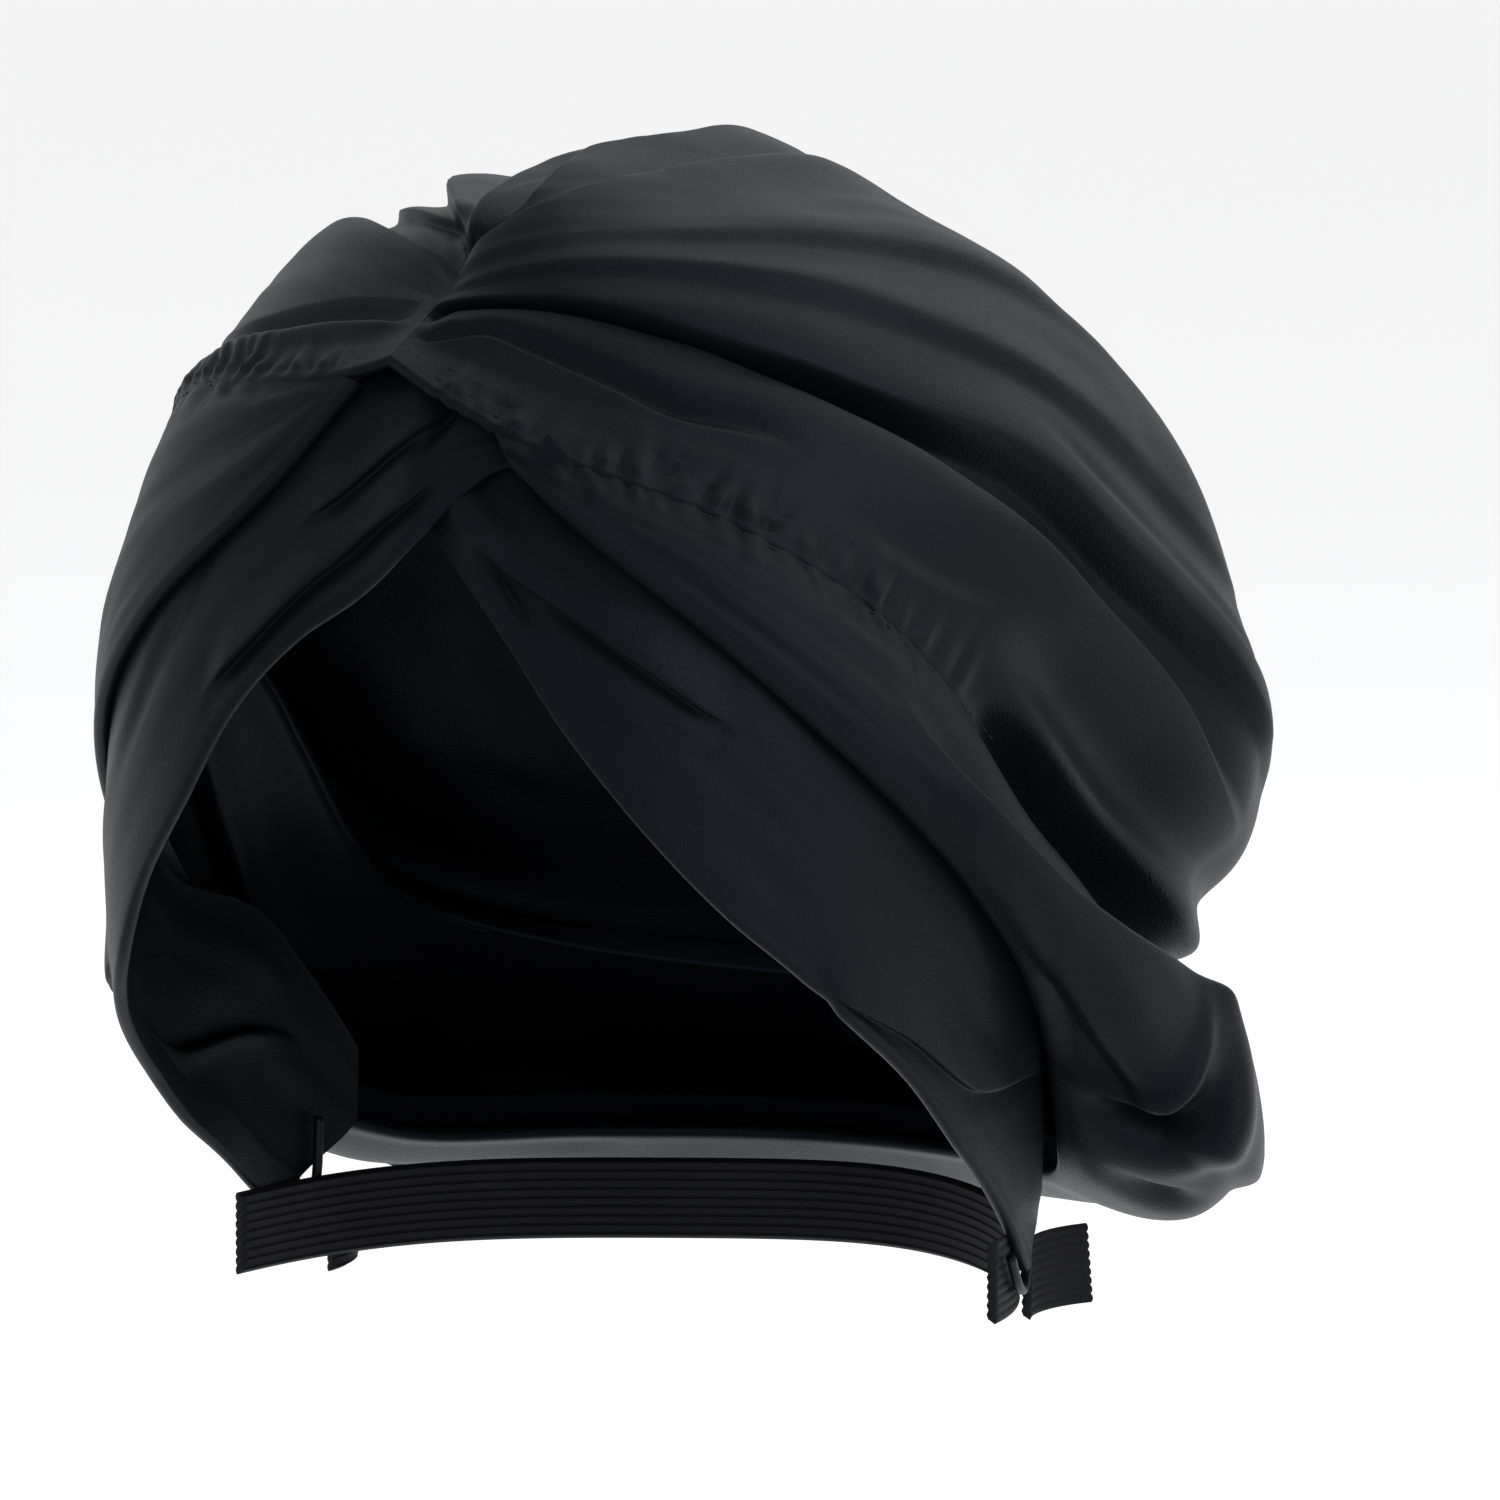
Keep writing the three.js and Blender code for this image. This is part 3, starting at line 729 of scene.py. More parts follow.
POUCH_COLUMNS = ("at", "angle", "height", "stand_off", "bulge")
POUCH_BACK = (
    (0.7, 115, -50, 10.5, 26), (0.78, 128, -60, 10.5, 29), (0.89, 152, -62, 10, 30),
    (1.0, 180, -62, 9.6, 30),
)
LEFT_POUCH = Table(
    POUCH_COLUMNS,
    (
        (0.06, 20, 90, 9.6, 0.6), (0.1, 25, 84, 9.4, 1.5), (0.22, 46, 60, 9.2, 3),
        (0.35, 66, 33, 9.4, 5), (0.48, 86, 4, 10, 9), (0.62, 105, -27, 10.5, 19),
        *POUCH_BACK,
    ),
)
RIGHT_POUCH = Table(
    POUCH_COLUMNS,
    (
        (0.04, 7, 102.5, 9.4, 0.1), (0.1, 16, 86, 9.4, 1.5), (0.22, 40, 59, 9.2, 2.5),
        (0.35, 65, 31, 9.2, 4), (0.48, 86, 2, 10, 9), (0.62, 105, -28, 10.5, 19),
        *POUCH_BACK,
    ),
)


class UpperWrap(FoldedSheet):
    """The loose upper wrap: from the crown's seam to its lower edge, with a pouch at the nape."""

    step = 0.006
    start = {Side.LEFT: 0.08, Side.RIGHT: 0.04}
    seam_gap = 0.6
    seam_width = 15.0
    tuck_in = 2.6
    tuck_up = 2.4
    rows, cross_rows = 520, 110
    sag = 0.65
    full_width = 30.0
    edge_fade = (7.0, 5.0)
    wrinkles = Wrinkles(0.7, 0.22, SEED + 10)
    left_folds = (
        Fold("hollow_ridge", ((0.36, 0.4), (0.423, 0.6), (0.5, 0.62), (0.568, 0.55), (0.65, 0.42),
             (0.8, 0.3)), 5, 13, 8, -1, 3, FULL_LAP, 0.8, (0.36, 0.45, 0.66, 0.8)),
        Fold("belly_fold", ((0.5, 0.86), (0.6, 0.8), (0.7, 0.62), (0.8, 0.55), (0.9, 0.5)),
             3, 14, 7, 1, 1, FULL_LAP, 0.4, (0.5, 0.6, 0.8, 0.9)),
        Fold("nape_fold", ((0.78, 0.4), (0.9, 0.45), (1.0, 0.42)), 4, 13, 5, 1, 2, FULL_LAP, 0.4,
             (0.8, 0.86, 0.97, 1.0)),
    )
    right_folds = (
        Fold("hollow_ridge", ((0.45, 0.2), (0.6, 0.3), (0.72, 0.32), (0.85, 0.25)),
             5, 11, 4, -1, 3, FULL_LAP, 0.7, (0.44, 0.52, 0.72, 0.84)),
        Fold("belly_fold", ((0.55, 0.6), (0.7, 0.62), (0.85, 0.55)), 4.5, 14, 6, 1, 2, FULL_LAP, 0.4,
             (0.52, 0.6, 0.78, 0.9)),
        Fold("nape_fold", ((0.78, 0.7), (0.9, 0.68), (1.0, 0.6)), 4, 12, 5, 1, 2, FULL_LAP, 0.4,
             (0.78, 0.84, 0.95, 1.0)),
    )

    dents = (
        Dent(0.318, 0.76, 3.2, 8, 10, -13.0),
        Dent(0.307, 0.74, 3.2, 11, 10, 4.0),
        Dent(0.331, 0.66, 8, 14, 0, 4.0),
        Dent(0.322, 0.36, 8, 6, 0, 3.0),
        Dent(0.355, 0.84, 9, 5, -30, -4.0),
        Dent(0.42, 0.62, 14, 8, 25, -4.0),
        Dent(0.5, 0.3, 18, 8, -10, -4.0),
        Dent(0.57, 0.65, 15, 8, -25, -4.0),
        Dent(0.65, 0.6, 12, 9, 15, -4.0),
        Dent(0.7, 0.75, 14, 7, -20, -3.0),
    )
    puckers = Puckers((5.0, 14.0), 2.2, (3.0, 6.0), 0.1, 0.5, SEED + 15)

    def station(self, along: Grid) -> tuple[Grid, Grid]:
        """The place along the crown's seam, and True on the wearer's left."""
        left = along <= 0.5
        at_left = self.start[Side.LEFT] + (1 - self.start[Side.LEFT]) * along / 0.5
        at_right = self.start[Side.RIGHT] + (1 - self.start[Side.RIGHT]) * (1 - along) / 0.5
        return np.where(left, at_left, at_right), left

    def form(self, along: Grid, across: Grid) -> Grid:
        """The plain wrap; across runs from 0 at the crown's seam to 1 at the lower edge."""
        at, left = self.station(np.clip(along, 0, 1))
        part = np.clip(across, 0, 1)
        points = []
        for side, table in ((Side.LEFT, LEFT_POUCH), (Side.RIGHT, RIGHT_POUCH)):
            read = {key: table.read(key, at) for key in table.columns[1:]}
            seam = seam_point(at, side) - np.array([0, 0, self.seam_gap])
            edge = HEAD.place(side.value * read["angle"], read["height"], read["stand_off"])
            outward = unit(seam * PLAN_SLOPE)
            belly = np.clip(np.sin(math.pi * part**1.15), 0, 1) ** 0.9
            point = seam + (edge - seam) * part[..., None] + outward * (read["bulge"] * belly)[..., None]
            point[..., 2] -= read["bulge"] * self.sag * np.sin(math.pi * part**1.8)
            points.append(point)
        return np.where(left[..., None], points[0], points[1])

    def extra_lift(self, along: Grid, low: Grid, high: Grid, plain: Grid) -> Grid:
        """Puckers under the crown's seam."""
        run = run_length(plain[:, 0])[:, None] + 0 * along
        return self.puckers.lift(self.station(along)[0], run, low)

    def sink(self, along: Grid, low: Grid, high: Grid) -> Grid:
        """The hollow along the crown's seam."""
        at, left = self.station(along)
        moves = [seam_sink(at, side, low, self.seam_width) for side in (Side.LEFT, Side.RIGHT)]
        return np.where(left[..., None], *moves)

    def placed_folds(self) -> tuple[Fold, ...]:
        """Both sides' folds, with their places turned into shares of the whole wrap."""
        made = []
        for side, folds in ((Side.LEFT, self.left_folds), (Side.RIGHT, self.right_folds)):
            begin = self.start[side]

            def share(at: float) -> float:
                """Share of the whole wrap at a place along the seam."""
                half = 0.5 * (at - begin) / (1 - begin)
                return half if side is Side.LEFT else 1 - half

            for fold in folds:
                path = tuple(sorted((share(at), across) for at, across in fold.path))
                span = tuple(sorted(share(at) for at in fold.window))
                made.append(replace(fold, path=path, window=span))
        return tuple(made)

    def build(self) -> Piece:
        """The wrap's cloth: tucked under the crown's hem and rolled at its lower edge."""
        self.folds = self.placed_folds()
        along = np.linspace(0, 1, int(self.rows * DETAIL) + 1)
        across = np.linspace(0, 1, int(self.cross_rows * DETAIL) + 1)
        points = self.shape(along, across)
        inward = -grid_normals(points)[:, 0]
        inward *= -np.sign(np.sum(inward * (points[:, 0] - Mesher.CENTRE)))
        under = points[:, 0] + inward * self.tuck_in + np.array([0, 0, self.tuck_up])
        points = np.concatenate([under[:, None], points], axis=1)
        return Mesher.sheet("upper_wrap_cloth", hem(points, 1.5, True, tuck=0.5, inward=6.0))


WRAP_COLUMNS = ("angle", "bottom", "top", "foot", "head")
LEFT_WRAP = Table(
    WRAP_COLUMNS,
    (
        (9, 78, 86, 2.2, 2.6), (14, 70, 90, 2.2, 3.4), (20, 60, 91, 2.2, 3.8), (30, 40, 86, 2.2, 4.4),
        (40, 22, 76, 2.2, 6.6), (50, 7, 64, 2.2, 6.6), (60, -5, 50, 2.2, 6.6), (70, -17, 36, 2.2, 6.6),
        (80, -29, 20, 2.2, 6.6), (90, -43, 2, 2.6, 6.6), (100, -56, -22, 3.8, 6.6),
        (107, -66, -42, 4.9, 6.6), (112, -72, -56, 5.2, 6.6),
    ),
)
RIGHT_WRAP = Table(
    WRAP_COLUMNS,
    (
        (-24, 90, 94, 6.4, 6.2), (-18, 87, 98.5, 6.7, 6.3), (-12, 80, 102, 6.2, 5.7),
        (-6, 72, 104, 5.0, 6.1), (0, 65, 105.5, 2.8, 4.8), (10, 56, 100, 2.2, 6.1),
        (20, 43, 90, 2.2, 6.1), (30, 24, 82, 2.2, 6.1), (40, 9, 72, 2.2, 6.1), (50, -7, 60, 2.2, 6.1),
        (60, -18, 47, 2.2, 6.1), (80, -37, 18, 2.2, 6.1), (90, -48, 0, 2.6, 6.1),
        (100, -58, -22, 3.8, 6.1), (107, -67, -42, 4.9, 6.1), (112, -72, -56, 5.2, 6.1),
    ),
)


class LowerWrap(FoldedSheet):
    """A snug lower wrap: a doubled band from the forehead to a tongue behind the ear."""

    full_width = 22.0
    edge_fade = (2.5, 4.0)
    roll = 0.8
    tuck_up = 15.0
    tuck_angles = (90.0, 104.0)
    lean = 10.0
    lean_along = (0.8, 1.0)
    lean_across = (0.1, 0.6)
    rows, cross_rows = 340, 90
    pleat_fade = 6.0

    def __init__(
        self, side: Side, table: Table, pleats: tuple[Fold, ...], dents: tuple[Dent, ...], seed: int
    ) -> None:
        """Keep the wrap's side, edges, pleats and dents."""
        self.dents = dents
        self.side = side
        self.table = table
        self.wrinkles = Wrinkles(0.45, 0.16, seed)
        self.first, self.last = table.rows[0][0], table.rows[-1][0]
        self.folds = tuple(self.placed(pleat) for pleat in pleats)
        self.name = f"lower_wrap_{side.name.lower()}"

    def share(self, angle: float) -> float:
        """Share of the wrap's length at an angle."""
        return (angle - self.first) / (self.last - self.first)

    def placed(self, pleat: Fold) -> Fold:
        """A pleat, drawn in degrees and millimetres of height, as a fold in shares of this wrap.

        Args:
            pleat: The pleat as drawn.

        Returns:
            The fold.
        """
        path = []
        for angle, height in pleat.path:
            bottom, top = (float(self.table.read(key, angle)) for key in ("bottom", "top"))
            path.append((self.share(angle), (height - bottom) / (top - bottom)))
        start, end = pleat.path[0][0], pleat.path[-1][0]
        ends = (start, start + self.pleat_fade, end - self.pleat_fade, end)
        return replace(pleat, path=tuple(path), window=tuple(self.share(angle) for angle in ends))

    def form(self, along: Grid, across: Grid) -> Grid:
        """The plain band; across runs from 0 at the lower edge to 1 at the upper one."""
        along, across = np.clip(along, 0, 1), np.clip(across, 0, 1)
        angle = self.first + (self.last - self.first) * along
        lean = self.lean * smooth(along, *self.lean_along) * smooth(across, *self.lean_across)
        read = {key: self.table.read(key, angle) for key in WRAP_COLUMNS[1:]}
        swell = self.roll * np.sin(math.pi * across) ** 0.7 * smooth(along, 0, 0.15)
        top = read["top"] + self.tuck_up * smooth(np.abs(angle), *self.tuck_angles)
        height = read["bottom"] + (top - read["bottom"]) * across
        stand_off = read["foot"] + (read["head"] - read["foot"]) * across + swell
        return HEAD.place(self.side.value * (angle + lean), height, stand_off)

    def build(self) -> Piece:
        """The band's cloth with a rolled lower edge."""
        along = np.linspace(0, 1, int(self.rows * DETAIL) + 1)
        across = np.linspace(0, 1, int(self.cross_rows * DETAIL) + 1)
        points = self.shape(along, across)
        return Mesher.sheet(f"{self.name}_cloth", hem(points, 1.3, False, tuck=8.0))


LEFT_PLEATS = (
    Fold("inner_fold", ((15, 76), (22, 70), (30, 63), (40, 53), (52, 40)), 2.0, 7, 2.2,
         -1, 2.2, FULL_LAP, 0.5),
    Fold("tongue_fold", ((62, -7), (75, -17), (90, -31), (106, -47)), 1.6, 8, 2.2, -1, 1.8, FULL_LAP, 0.5),
)
RIGHT_PLEATS = (
    Fold("first_line", ((-12, 98), (-4, 92), (4, 84), (12, 76)), 1.6, 6, 2.0, -1, 1.6, FULL_LAP, 0.5),
    Fold("inner_fold", ((-12, 87), (-4, 80), (6, 70), (16, 58), (26, 44)), 2.2, 7, 2.4,
         -1, 2.4, FULL_LAP, 0.5),
    Fold("tongue_fold", ((62, -10), (75, -20), (90, -33), (106, -48)), 1.6, 8, 2.2, -1, 1.8, FULL_LAP, 0.5),
)

LEFT_DENTS = (Dent(0.07, 0.4, 9, 6, 25, 3.5), Dent(0.13, 0.3, 9, 4, 25, -2.5))
RIGHT_DENTS = (Dent(0.1, 0.72, 4, 3, 0, -2.5), Dent(0.45, 0.6, 18, 5, -15, -1.5))


@dataclass(frozen=True)
class Elastic:
    """The ribbed elastic strap behind the neck, with a short cut tail at each end."""

    height: float = 16.0
    centre: float = -72.5
    stand_off: float = 2.5
    end_angle: float = 101.0
    wall: float = 1.6
    ribs: int = 9
    rib_rise: float = 0.35
    tail_angle: float = 117.0
    tail_height: float = 15.5
    tail_centre: float = -76.0
    tail_length: float = 17.0
    tail_stand_off: float = 4.8
    tail_flare: float = 40.0

    def rib(self, across: Grid) -> Grid:
        """Height of the ribs across the elastic."""
        return self.rib_rise * (np.abs(np.sin(math.pi * self.ribs * across)) ** 0.7 - 1)

    def build_strap(self) -> Piece:
        """The strap, from under one tongue to under the other."""
        along = np.linspace(self.end_angle, 360 - self.end_angle, int(150 * DETAIL) + 1)
        across = np.linspace(0, 1, 6 * self.ribs + 1)
        angle, part = np.meshgrid(along, across, indexing="ij")
        wave = 0.5 * np.sin(np.radians(angle * 5))
        height = self.centre + self.height * (part - 0.5) + wave
        points = HEAD.place(angle, height, self.stand_off + self.rib(part))
        return Mesher.slab("nape_strap_elastic", points, self.wall)

    def build_tail(self, side: Side) -> Piece:
        """The cut end of the elastic, which stands out behind a tongue."""
        height, off = np.array(self.tail_centre), np.array(self.tail_stand_off)
        root = HEAD.place(np.array(side.value * self.tail_angle), height, off)
        tangent = unit(HEAD.place(np.array(side.value * (self.tail_angle + 1)), height, off) - root)
        outward = -side.value * np.array([-tangent[1], tangent[0], 0.0])
        along, across = np.linspace(0, 1, 16), np.linspace(0, 1, 6 * self.ribs + 1)
        s, part = np.meshgrid(along, across, indexing="ij")
        bend = math.radians(self.tail_flare) * s
        reach = self.tail_length * s * (1 + 0.1 * (0.5 - part))
        ahead, aside = (reach * np.cos(bend))[..., None], (reach * np.sin(bend))[..., None]
        points = root + tangent * ahead + outward * aside
        points[..., 2] += self.tail_height * (part - 0.5) + 1.5 * s
        points = points + outward * self.rib(part)[..., None]
        return Mesher.slab(f"strap_tail_{side.name.lower()}_elastic", points, self.wall)


@dataclass(frozen=True)
class Binding:
    """The narrow round binding that loops about the tongue of a lower wrap."""

    radius: float = 1.0
    stand_off: float = 4.1
    sides: int = 12
    path: tuple[Pair, ...] = (
        (115.5, -53), (115.2, -64), (114, -72), (111, -76), (107, -74), (103.5, -68),
    )

    def build(self, side: Side) -> Piece:
        """Sweep the binding along its loop on one side."""
        key = np.arange(len(self.path), dtype=float)
        table = Table(("step", "angle", "height"), tuple((k, *p) for k, p in zip(key, self.path)))
        step = np.linspace(0, key[-1], 60)
        angle, height = side.value * table.read("angle", step), table.read("height", step)
        line = HEAD.place(angle, height, np.full_like(step, self.stand_off))
        tangent = unit(np.gradient(line, axis=0))
        out = HEAD.place(angle, height, np.full_like(step, self.stand_off + 1)) - line
        out = unit(out - tangent * np.sum(out * tangent, axis=1, keepdims=True))
        across = np.cross(tangent, out)
        turn = np.linspace(0, 2 * math.pi, self.sides + 1)
        ring = [line + self.radius * (out * math.cos(a) + across * math.sin(a)) for a in turn]
        points = np.stack(ring, axis=1)
        closed = np.concatenate([line[:1, None] + 0 * points[:1], points, line[-1:, None] + 0 * points[-1:]])
        return Mesher.sheet(f"nape_binding_{side.name.lower()}_cloth", closed)


def wire(
    tree: bpy.types.NodeTree,
    node: dict[str, bpy.types.Node],
    values: tuple[tuple, ...],
    rows: tuple[tuple, ...],
) -> None:
    """Set the inputs of nodes and link them.

    Args:
        tree: Their tree.
        node: The nodes by key.
        values: Rows of a node's key, an input and its value.
        rows: Rows of a node's key and an output, then a node's key and an input.
    """
    for key, entry, value in values:
        node[key].inputs[entry].default_value = value
    for start, output, end, entry in rows:
        tree.links.new(node[start].outputs[output], node[end].inputs[entry])


@dataclass(frozen=True)
class Stitches:
    """A run of small stitches along a seam, laid by geometry nodes."""

    spacing: float = 2.8
    length: float = 1.6
    radius: float = 0.16
    sides: int = 6
    span: Pair = (0.1, 0.5)
    divisions: int = 200
    below: Triple = (0.3, -0.3, -1.4)

    def line(self, side: Side) -> Grid:
        """Points of the run, just under the crown's hem."""
        away = np.array(self.below) * np.array([side.value, 1, 1])
        return seam_point(np.linspace(*self.span, self.divisions), side) + away

    def node_group(self, material: bpy.types.Material) -> bpy.types.NodeTree:
        """Build the node group: stitches on points along a curve, realised.

        Args:
            material: Finish of the thread.

        Returns:
            The geometry node group.
        """
        tree = bpy.data.node_groups.new("seam_stitches", "GeometryNodeTree")
        face = tree.interface
        face.new_socket("Geometry", in_out="INPUT", socket_type="NodeSocketGeometry")
        face.new_socket("Geometry", in_out="OUTPUT", socket_type="NodeSocketGeometry")
        kinds = (
            ("in", "NodeGroupInput"), ("curve", "GeometryNodeMeshToCurve"),
            ("points", "GeometryNodeCurveToPoints"), ("rod", "GeometryNodeMeshCylinder"),
            ("aim", "FunctionNodeAlignRotationToVector"), ("copy", "GeometryNodeInstanceOnPoints"),
            ("real", "GeometryNodeRealizeInstances"), ("paint", "GeometryNodeSetMaterial"),
            ("out", "NodeGroupOutput"),
        )
        node = {key: tree.nodes.new(kind) for key, kind in kinds}
        node["points"].mode = "LENGTH"
        node["aim"].axis = "Z"
        values = (
            ("points", "Length", self.spacing * MM), ("rod", "Depth", self.length * MM),
            ("rod", "Radius", self.radius * MM), ("rod", "Vertices", self.sides),
            ("paint", "Material", material),
        )
        rows = (
            ("in", "Geometry", "curve", "Mesh"), ("curve", "Curve", "points", "Curve"),
            ("points", "Tangent", "aim", "Vector"), ("points", "Points", "copy", "Points"),
            ("rod", "Mesh", "copy", "Instance"), ("aim", "Rotation", "copy", "Rotation"),
            ("copy", "Instances", "real", "Geometry"), ("real", "Geometry", "paint", "Geometry"),
            ("paint", "Geometry", "out", "Geometry"),
        )
        wire(tree, node, values, rows)
        return tree

    def build(self, name: str, line: Grid, material: bpy.types.Material) -> Piece:
        """Lay the stitches along a line of points in millimetres.

        Args:
            name: The object's name.
            line: Points of the seam.
            material: Finish of the thread.

        Returns:
            A plain mesh object.
        """
        mesh = bpy.data.meshes.new(f"{name}_line")
        mesh.from_pydata((line * MM).tolist(), [(i, i + 1) for i in range(len(line) - 1)], [])
        carrier = bpy.data.objects.new(f"{name}_line", mesh)
        bpy.context.scene.collection.objects.link(carrier)
        carrier.modifiers.new("stitches", "NODES").node_group = self.node_group(material)
        graph = bpy.context.evaluated_depsgraph_get()
        made = bpy.data.meshes.new_from_object(carrier.evaluated_get(graph))
        made.name = name
        piece = bpy.data.objects.new(name, made)
        bpy.context.scene.collection.objects.link(piece)
        bpy.data.objects.remove(carrier)
        return piece


@dataclass(frozen=True)
class ClothFinish:
    """A woven cloth: dark, with a soft sheen and a fine grain along its threads."""

    NODES = (
        ("uv", "UVMap"), ("stretch", "Mapping"), ("grain", "TexNoise"), ("place", "TexCoord"),
        ("cloud", "TexNoise"), ("gloss", "MapRange"), ("tone", "Mix"), ("bump", "Bump"),
    )
    TONE_A, TONE_B, TONE_OUT = 6, 7, 2
    name: str
    deep: Triple
    light: Triple
    roughness: Pair
    specular: float
    sheen: float
    sheen_tint: Triple
    thread: Pair
    bump: float
    sheen_roughness: float = 0.45
    cloud_scale: float = 45.0
    bump_depth: float = 0.0002

    def build(self) -> bpy.types.Material:
        """Make the node material.

        Returns:
            The material.
        """
        material = bpy.data.materials.new(self.name)
        material.use_nodes = True
        tree = material.node_tree
        node = {key: tree.nodes.new(f"ShaderNode{kind}") for key, kind in self.NODES}
        node["shader"] = tree.nodes["Principled BSDF"]
        node["uv"].uv_map = "cloth"
        node["tone"].data_type = "RGBA"
        tint = (*self.sheen_tint, 1)
        values = (
            ("shader", "Sheen Weight", self.sheen), ("shader", "Sheen Roughness", self.sheen_roughness),
            ("shader", "Sheen Tint", tint), ("shader", "Specular IOR Level", self.specular),
            ("shader", "Specular Tint", tint), ("stretch", "Scale", (*self.thread, 1)),
            ("grain", "Scale", 1.0), ("grain", "Detail", 2.0), ("cloud", "Scale", self.cloud_scale),
            ("cloud", "Detail", 3.0), ("gloss", "To Min", self.roughness[0]),
            ("gloss", "To Max", self.roughness[1]), ("tone", self.TONE_A, (*self.deep, 1)),
            ("tone", self.TONE_B, (*self.light, 1)), ("bump", "Strength", self.bump),
            ("bump", "Distance", self.bump_depth),
        )
        rows = (
            ("uv", "UV", "stretch", "Vector"), ("stretch", "Vector", "grain", "Vector"),
            ("place", "Object", "cloud", "Vector"), ("grain", "Fac", "gloss", "Value"),
            ("gloss", "Result", "shader", "Roughness"), ("cloud", "Fac", "tone", "Factor"),
            ("tone", self.TONE_OUT, "shader", "Base Color"), ("grain", "Fac", "bump", "Height"),
            ("bump", "Normal", "shader", "Normal"),
        )
        wire(tree, node, values, rows)
        return material


BLACK_TONES = ((0.0016, 0.0018, 0.0028), (0.0032, 0.0035, 0.005))
ELASTIC_TONES = ((0.004, 0.004, 0.0045), (0.008, 0.008, 0.009))
SATIN = ClothFinish(
    "black_satin", *BLACK_TONES, (0.3, 0.54), 0.07, 0.01, (0.7, 0.83, 1.0), (1500, 2600), 0.6
)
ELASTIC_FINISH = ClothFinish(
    "ribbed_elastic", *ELASTIC_TONES, (0.6, 0.8), 0.1, 0.01, (0.9, 0.92, 1.0), (2500, 2500), 0.4
)
BINDING_FINISH = ClothFinish(
    "satin_binding", *BLACK_TONES, (0.34, 0.5), 0.14, 0.01, (0.75, 0.82, 1.0), (1800, 1800), 0.25
)


@dataclass(frozen=True)
class Lamp:
    """A soft rectangular light that looks at the wrap."""

    name: str
    place: Triple
    size: Pair
    watts: float
    colour: Triple = (0.92, 0.96, 1.0)


class Studio:
    """Pale floor, soft lights and the camera."""

    floor = -0.3
    floor_reach = 15.0
    camera_place = (1.102, -2.3352, 0.3125)
    camera_forward = (-0.41234, 0.90511, -0.11003)
    camera_up = (-0.0625, 0.134, 0.989)
    lens = 331.0
    aim = (0.0, 0.03, 0.03)
    lamps = (
        Lamp("front_fill", (0.3, -2.0, 0.9), (1.4, 1.2), 7),
        Lamp("top_back", (0.8, 1.1, 1.6), (2.8, 2.4), 22),
        Lamp("left_side", (2.0, 0.1, 0.7), (1.2, 1.6), 20),
        Lamp("right_side", (-1.8, -0.9, 1.0), (1.2, 1.4), 7),
    )

    def build(self) -> None:
        """Put up the floor, lights, sky and camera."""
        self.build_floor()
        for lamp in self.lamps:
            self.build_lamp(lamp)
        self.build_sky()
        self.build_camera()
        bpy.context.scene.view_settings.view_transform = "Standard"

    def build_floor(self) -> None:
        """A wide pale floor under the wrap."""
        reach = self.floor_reach
        corners = [(-reach, -reach), (reach, -reach), (reach, reach), (-reach, reach)]
        mesh = bpy.data.meshes.new("studio_floor")
        mesh.from_pydata([(x, y, self.floor) for x, y in corners], [], [(0, 1, 2, 3)])
        floor = bpy.data.objects.new("studio_floor", mesh)
        bpy.context.scene.collection.objects.link(floor)
        paint = bpy.data.materials.new("studio_white")
        paint.use_nodes = True
        shader = paint.node_tree.nodes["Principled BSDF"]
        shader.inputs["Base Color"].default_value = (0.86, 0.86, 0.87, 1)
        shader.inputs["Emission Color"].default_value = (1.0, 1.0, 1.0, 1)
        shader.inputs["Emission Strength"].default_value = 0.25
        shader.inputs["Roughness"].default_value = 0.9
        mesh.materials.append(paint)
        floor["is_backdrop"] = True

    def build_lamp(self, lamp: Lamp) -> None:
        """One area light, aimed at the wrap."""
        data = bpy.data.lights.new(lamp.name, "AREA")
        data.shape = "RECTANGLE"
        data.size, data.size_y = lamp.size
        data.energy = lamp.watts
        data.color = lamp.colour
        light = bpy.data.objects.new(lamp.name, data)
        light.location = lamp.place
        light.rotation_euler = (Vector(self.aim) - Vector(lamp.place)).to_track_quat("-Z", "Y").to_euler()
        bpy.context.scene.collection.objects.link(light)

    def build_sky(self) -> None:
        """An even white surround."""
        world = bpy.data.worlds.new("studio_sky")
        world.use_nodes = True
        sky = world.node_tree.nodes["Background"]
        sky.inputs["Color"].default_value = (1.0, 1.0, 1.0, 1)
        sky.inputs["Strength"].default_value = 0.75
        bpy.context.scene.world = world

    def build_camera(self) -> None:
        """The camera at the photograph's angle."""
        data = bpy.data.cameras.new("camera")
        data.sensor_width = 36.0
        data.lens = self.lens
        data.clip_end = 50.0
        camera = bpy.data.objects.new("camera", data)
        back = -Vector(self.camera_forward).normalized()
        right = Vector(self.camera_up).cross(back).normalized()
        up = back.cross(right)
        turn = Matrix((right, up, back)).transposed().to_4x4()
        camera.matrix_world = Matrix.Translation(Vector(self.camera_place)) @ turn
        bpy.context.scene.collection.objects.link(camera)
        bpy.context.scene.camera = camera


@dataclass(frozen=True)
class Cut:
    """The flat cloth that a sheet is made from, in metres and square metres."""

    width: float
    length: float
    area: float
    held: Held
    rests_on: tuple[str, ...]


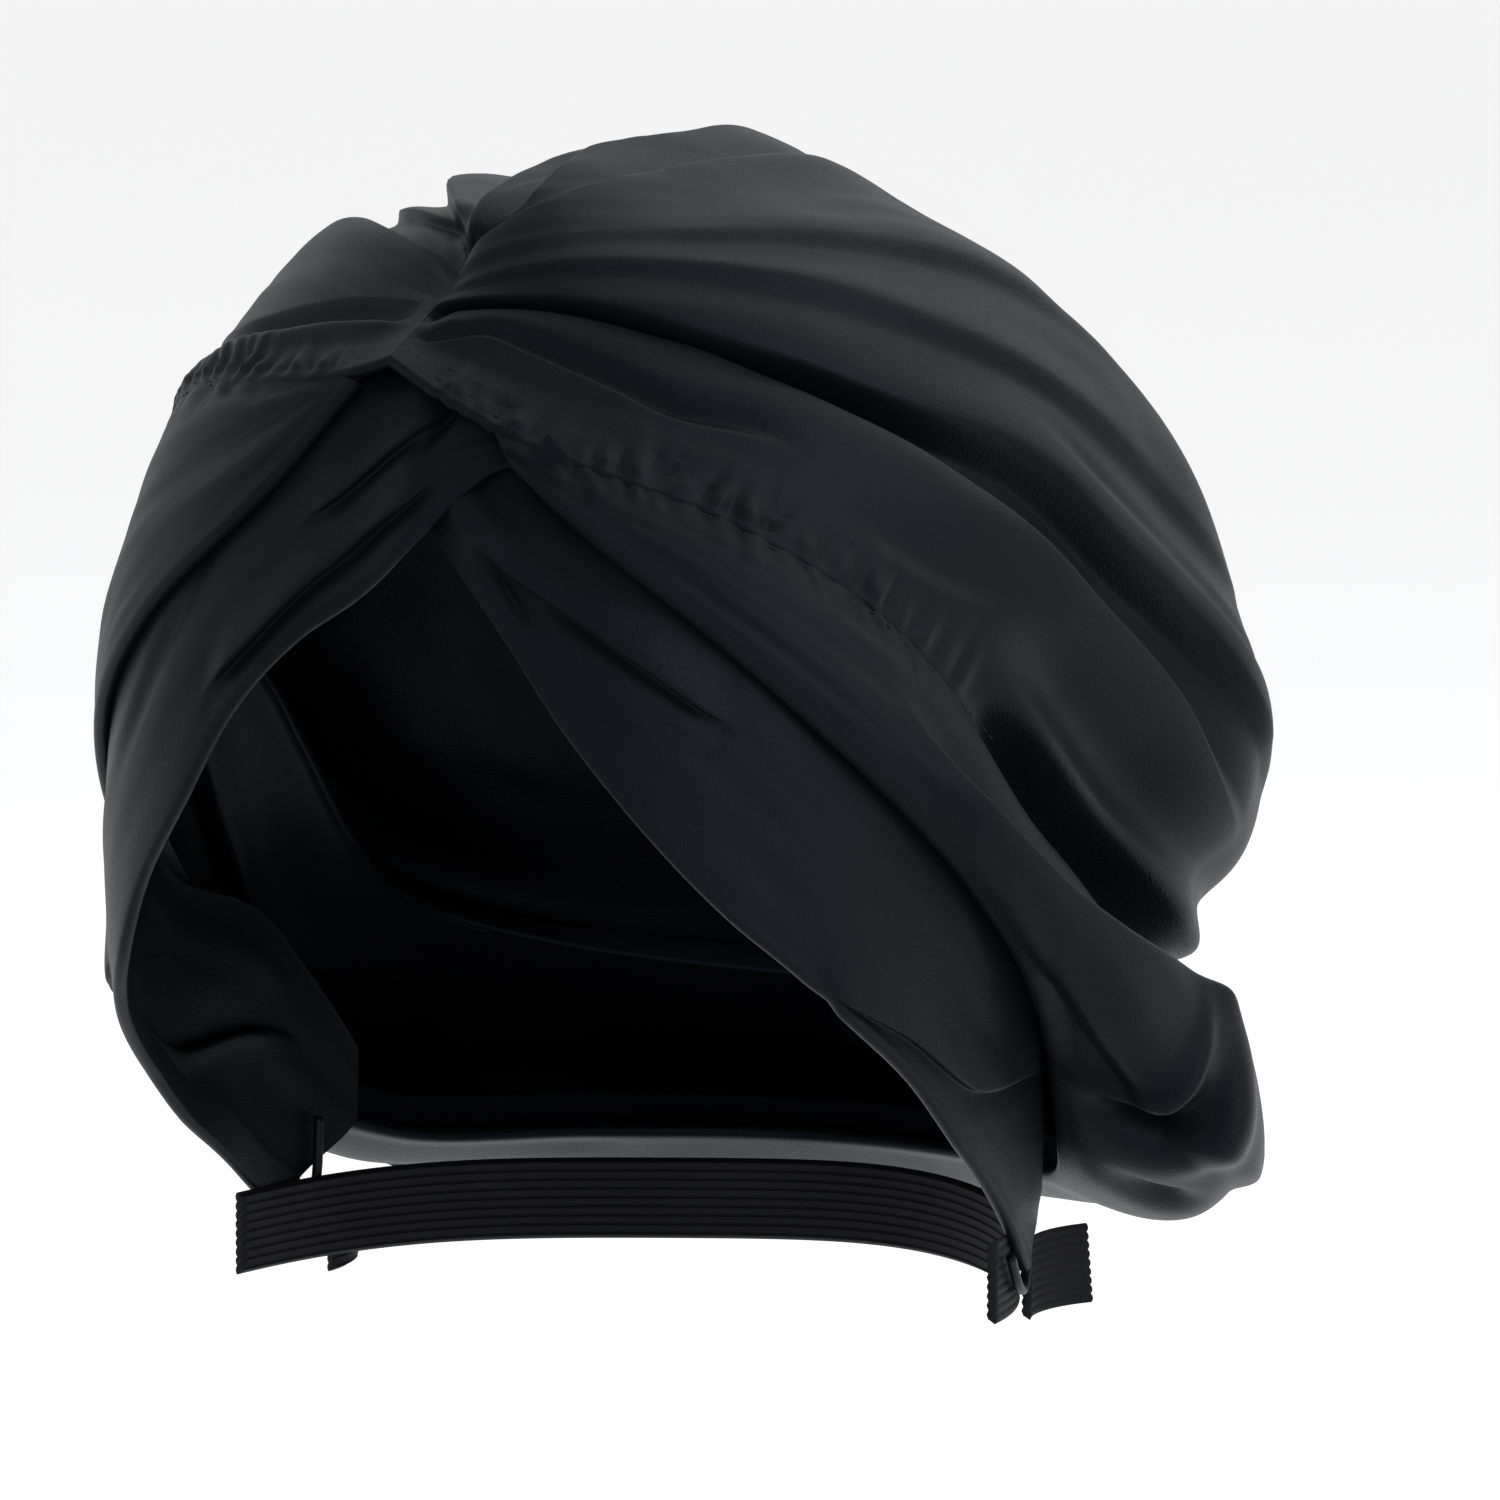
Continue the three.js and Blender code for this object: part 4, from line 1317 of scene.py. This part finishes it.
class Turban:
    """The whole headwrap."""

    tongues = ("lower_wrap_left_cloth", "lower_wrap_right_cloth")
    cuts = {
        "crown": Cut(0.36, 0.4, 0.1, Held.GATHERED, ("upper_wrap_cloth",)),
        "upper_wrap": Cut(0.15, 0.62, 0.058, Held.GATHERED, tongues),
        "lower_wrap_left": Cut(0.075, 0.22, 0.0105, Held.FOLDED, ("head_seat",)),
        "lower_wrap_right": Cut(0.075, 0.28, 0.0135, Held.FOLDED, ("head_seat",)),
        "nape_strap": Cut(0.016, 0.28, 0.00448, Held.STRETCHED, tongues),
    }

    def __init__(self) -> None:
        """Make the finishes."""
        self.paint = {
            Slot.SATIN: SATIN.build(),
            Slot.ELASTIC: ELASTIC_FINISH.build(),
            Slot.BINDING: BINDING_FINISH.build(),
        }

    def dress(self, piece: Piece, slot: Slot, node: str | None) -> None:
        """Paint a piece, ride it on the root body and hide the CAD node that it stands in for.

        Args:
            piece: The finished object.
            slot: Its material slot.
            node: The CAD node that it replaces, if any.
        """
        piece.data.materials.clear()
        piece.data.materials.append(self.paint[slot])
        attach(piece, ROOT)
        if node:
            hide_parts(node)
        cut = self.cuts.get(node or "")
        area = sum(polygon.area for polygon in piece.data.polygons)
        LOG.info("%s: %d faces, %.4f m2", piece.name, len(piece.data.polygons), area)
        if cut:
            flat, rests_on = (cut.width, cut.length), list(cut.rests_on)
            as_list(rests_on)

    def build(self) -> None:
        """Build every piece in order."""
        self.dress(Crown().build(), Slot.SATIN, "crown")
        self.dress(UpperWrap().build(), Slot.SATIN, "upper_wrap")
        left = LowerWrap(Side.LEFT, LEFT_WRAP, LEFT_PLEATS, LEFT_DENTS, SEED + 20)
        right = LowerWrap(Side.RIGHT, RIGHT_WRAP, RIGHT_PLEATS, RIGHT_DENTS, SEED + 30)
        for wrap in (left, right):
            self.dress(wrap.build(), Slot.SATIN, wrap.name)
        elastic = Elastic()
        self.dress(elastic.build_strap(), Slot.ELASTIC, "nape_strap")
        for side in Side:
            hand = side.name.lower()
            self.dress(elastic.build_tail(side), Slot.ELASTIC, f"strap_tail_{hand}")
            self.dress(Binding().build(side), Slot.BINDING, f"nape_binding_{hand}")
            run = Stitches()
            stitches = run.build(f"seam_stitches_{hand}", run.line(side), self.paint[Slot.BINDING])
            self.dress(stitches, Slot.BINDING, None)


def write_sizes() -> None:
    """Gather the CAD's and the dressed part's bounds as plain lists."""
    ends = {"cad": CAD_BOUNDS, "visual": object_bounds()}
    sizes = {key: [list(corner) for corner in pair] for key, pair in ends.items()}


def main() -> None:
    """Build the headwrap and its studio, in order."""
    logging.basicConfig(level=logging.INFO, format="%(name)s: %(message)s")
    Turban().build()
    Studio().build()
    write_sizes()


if __name__ == "__main__":
    main()
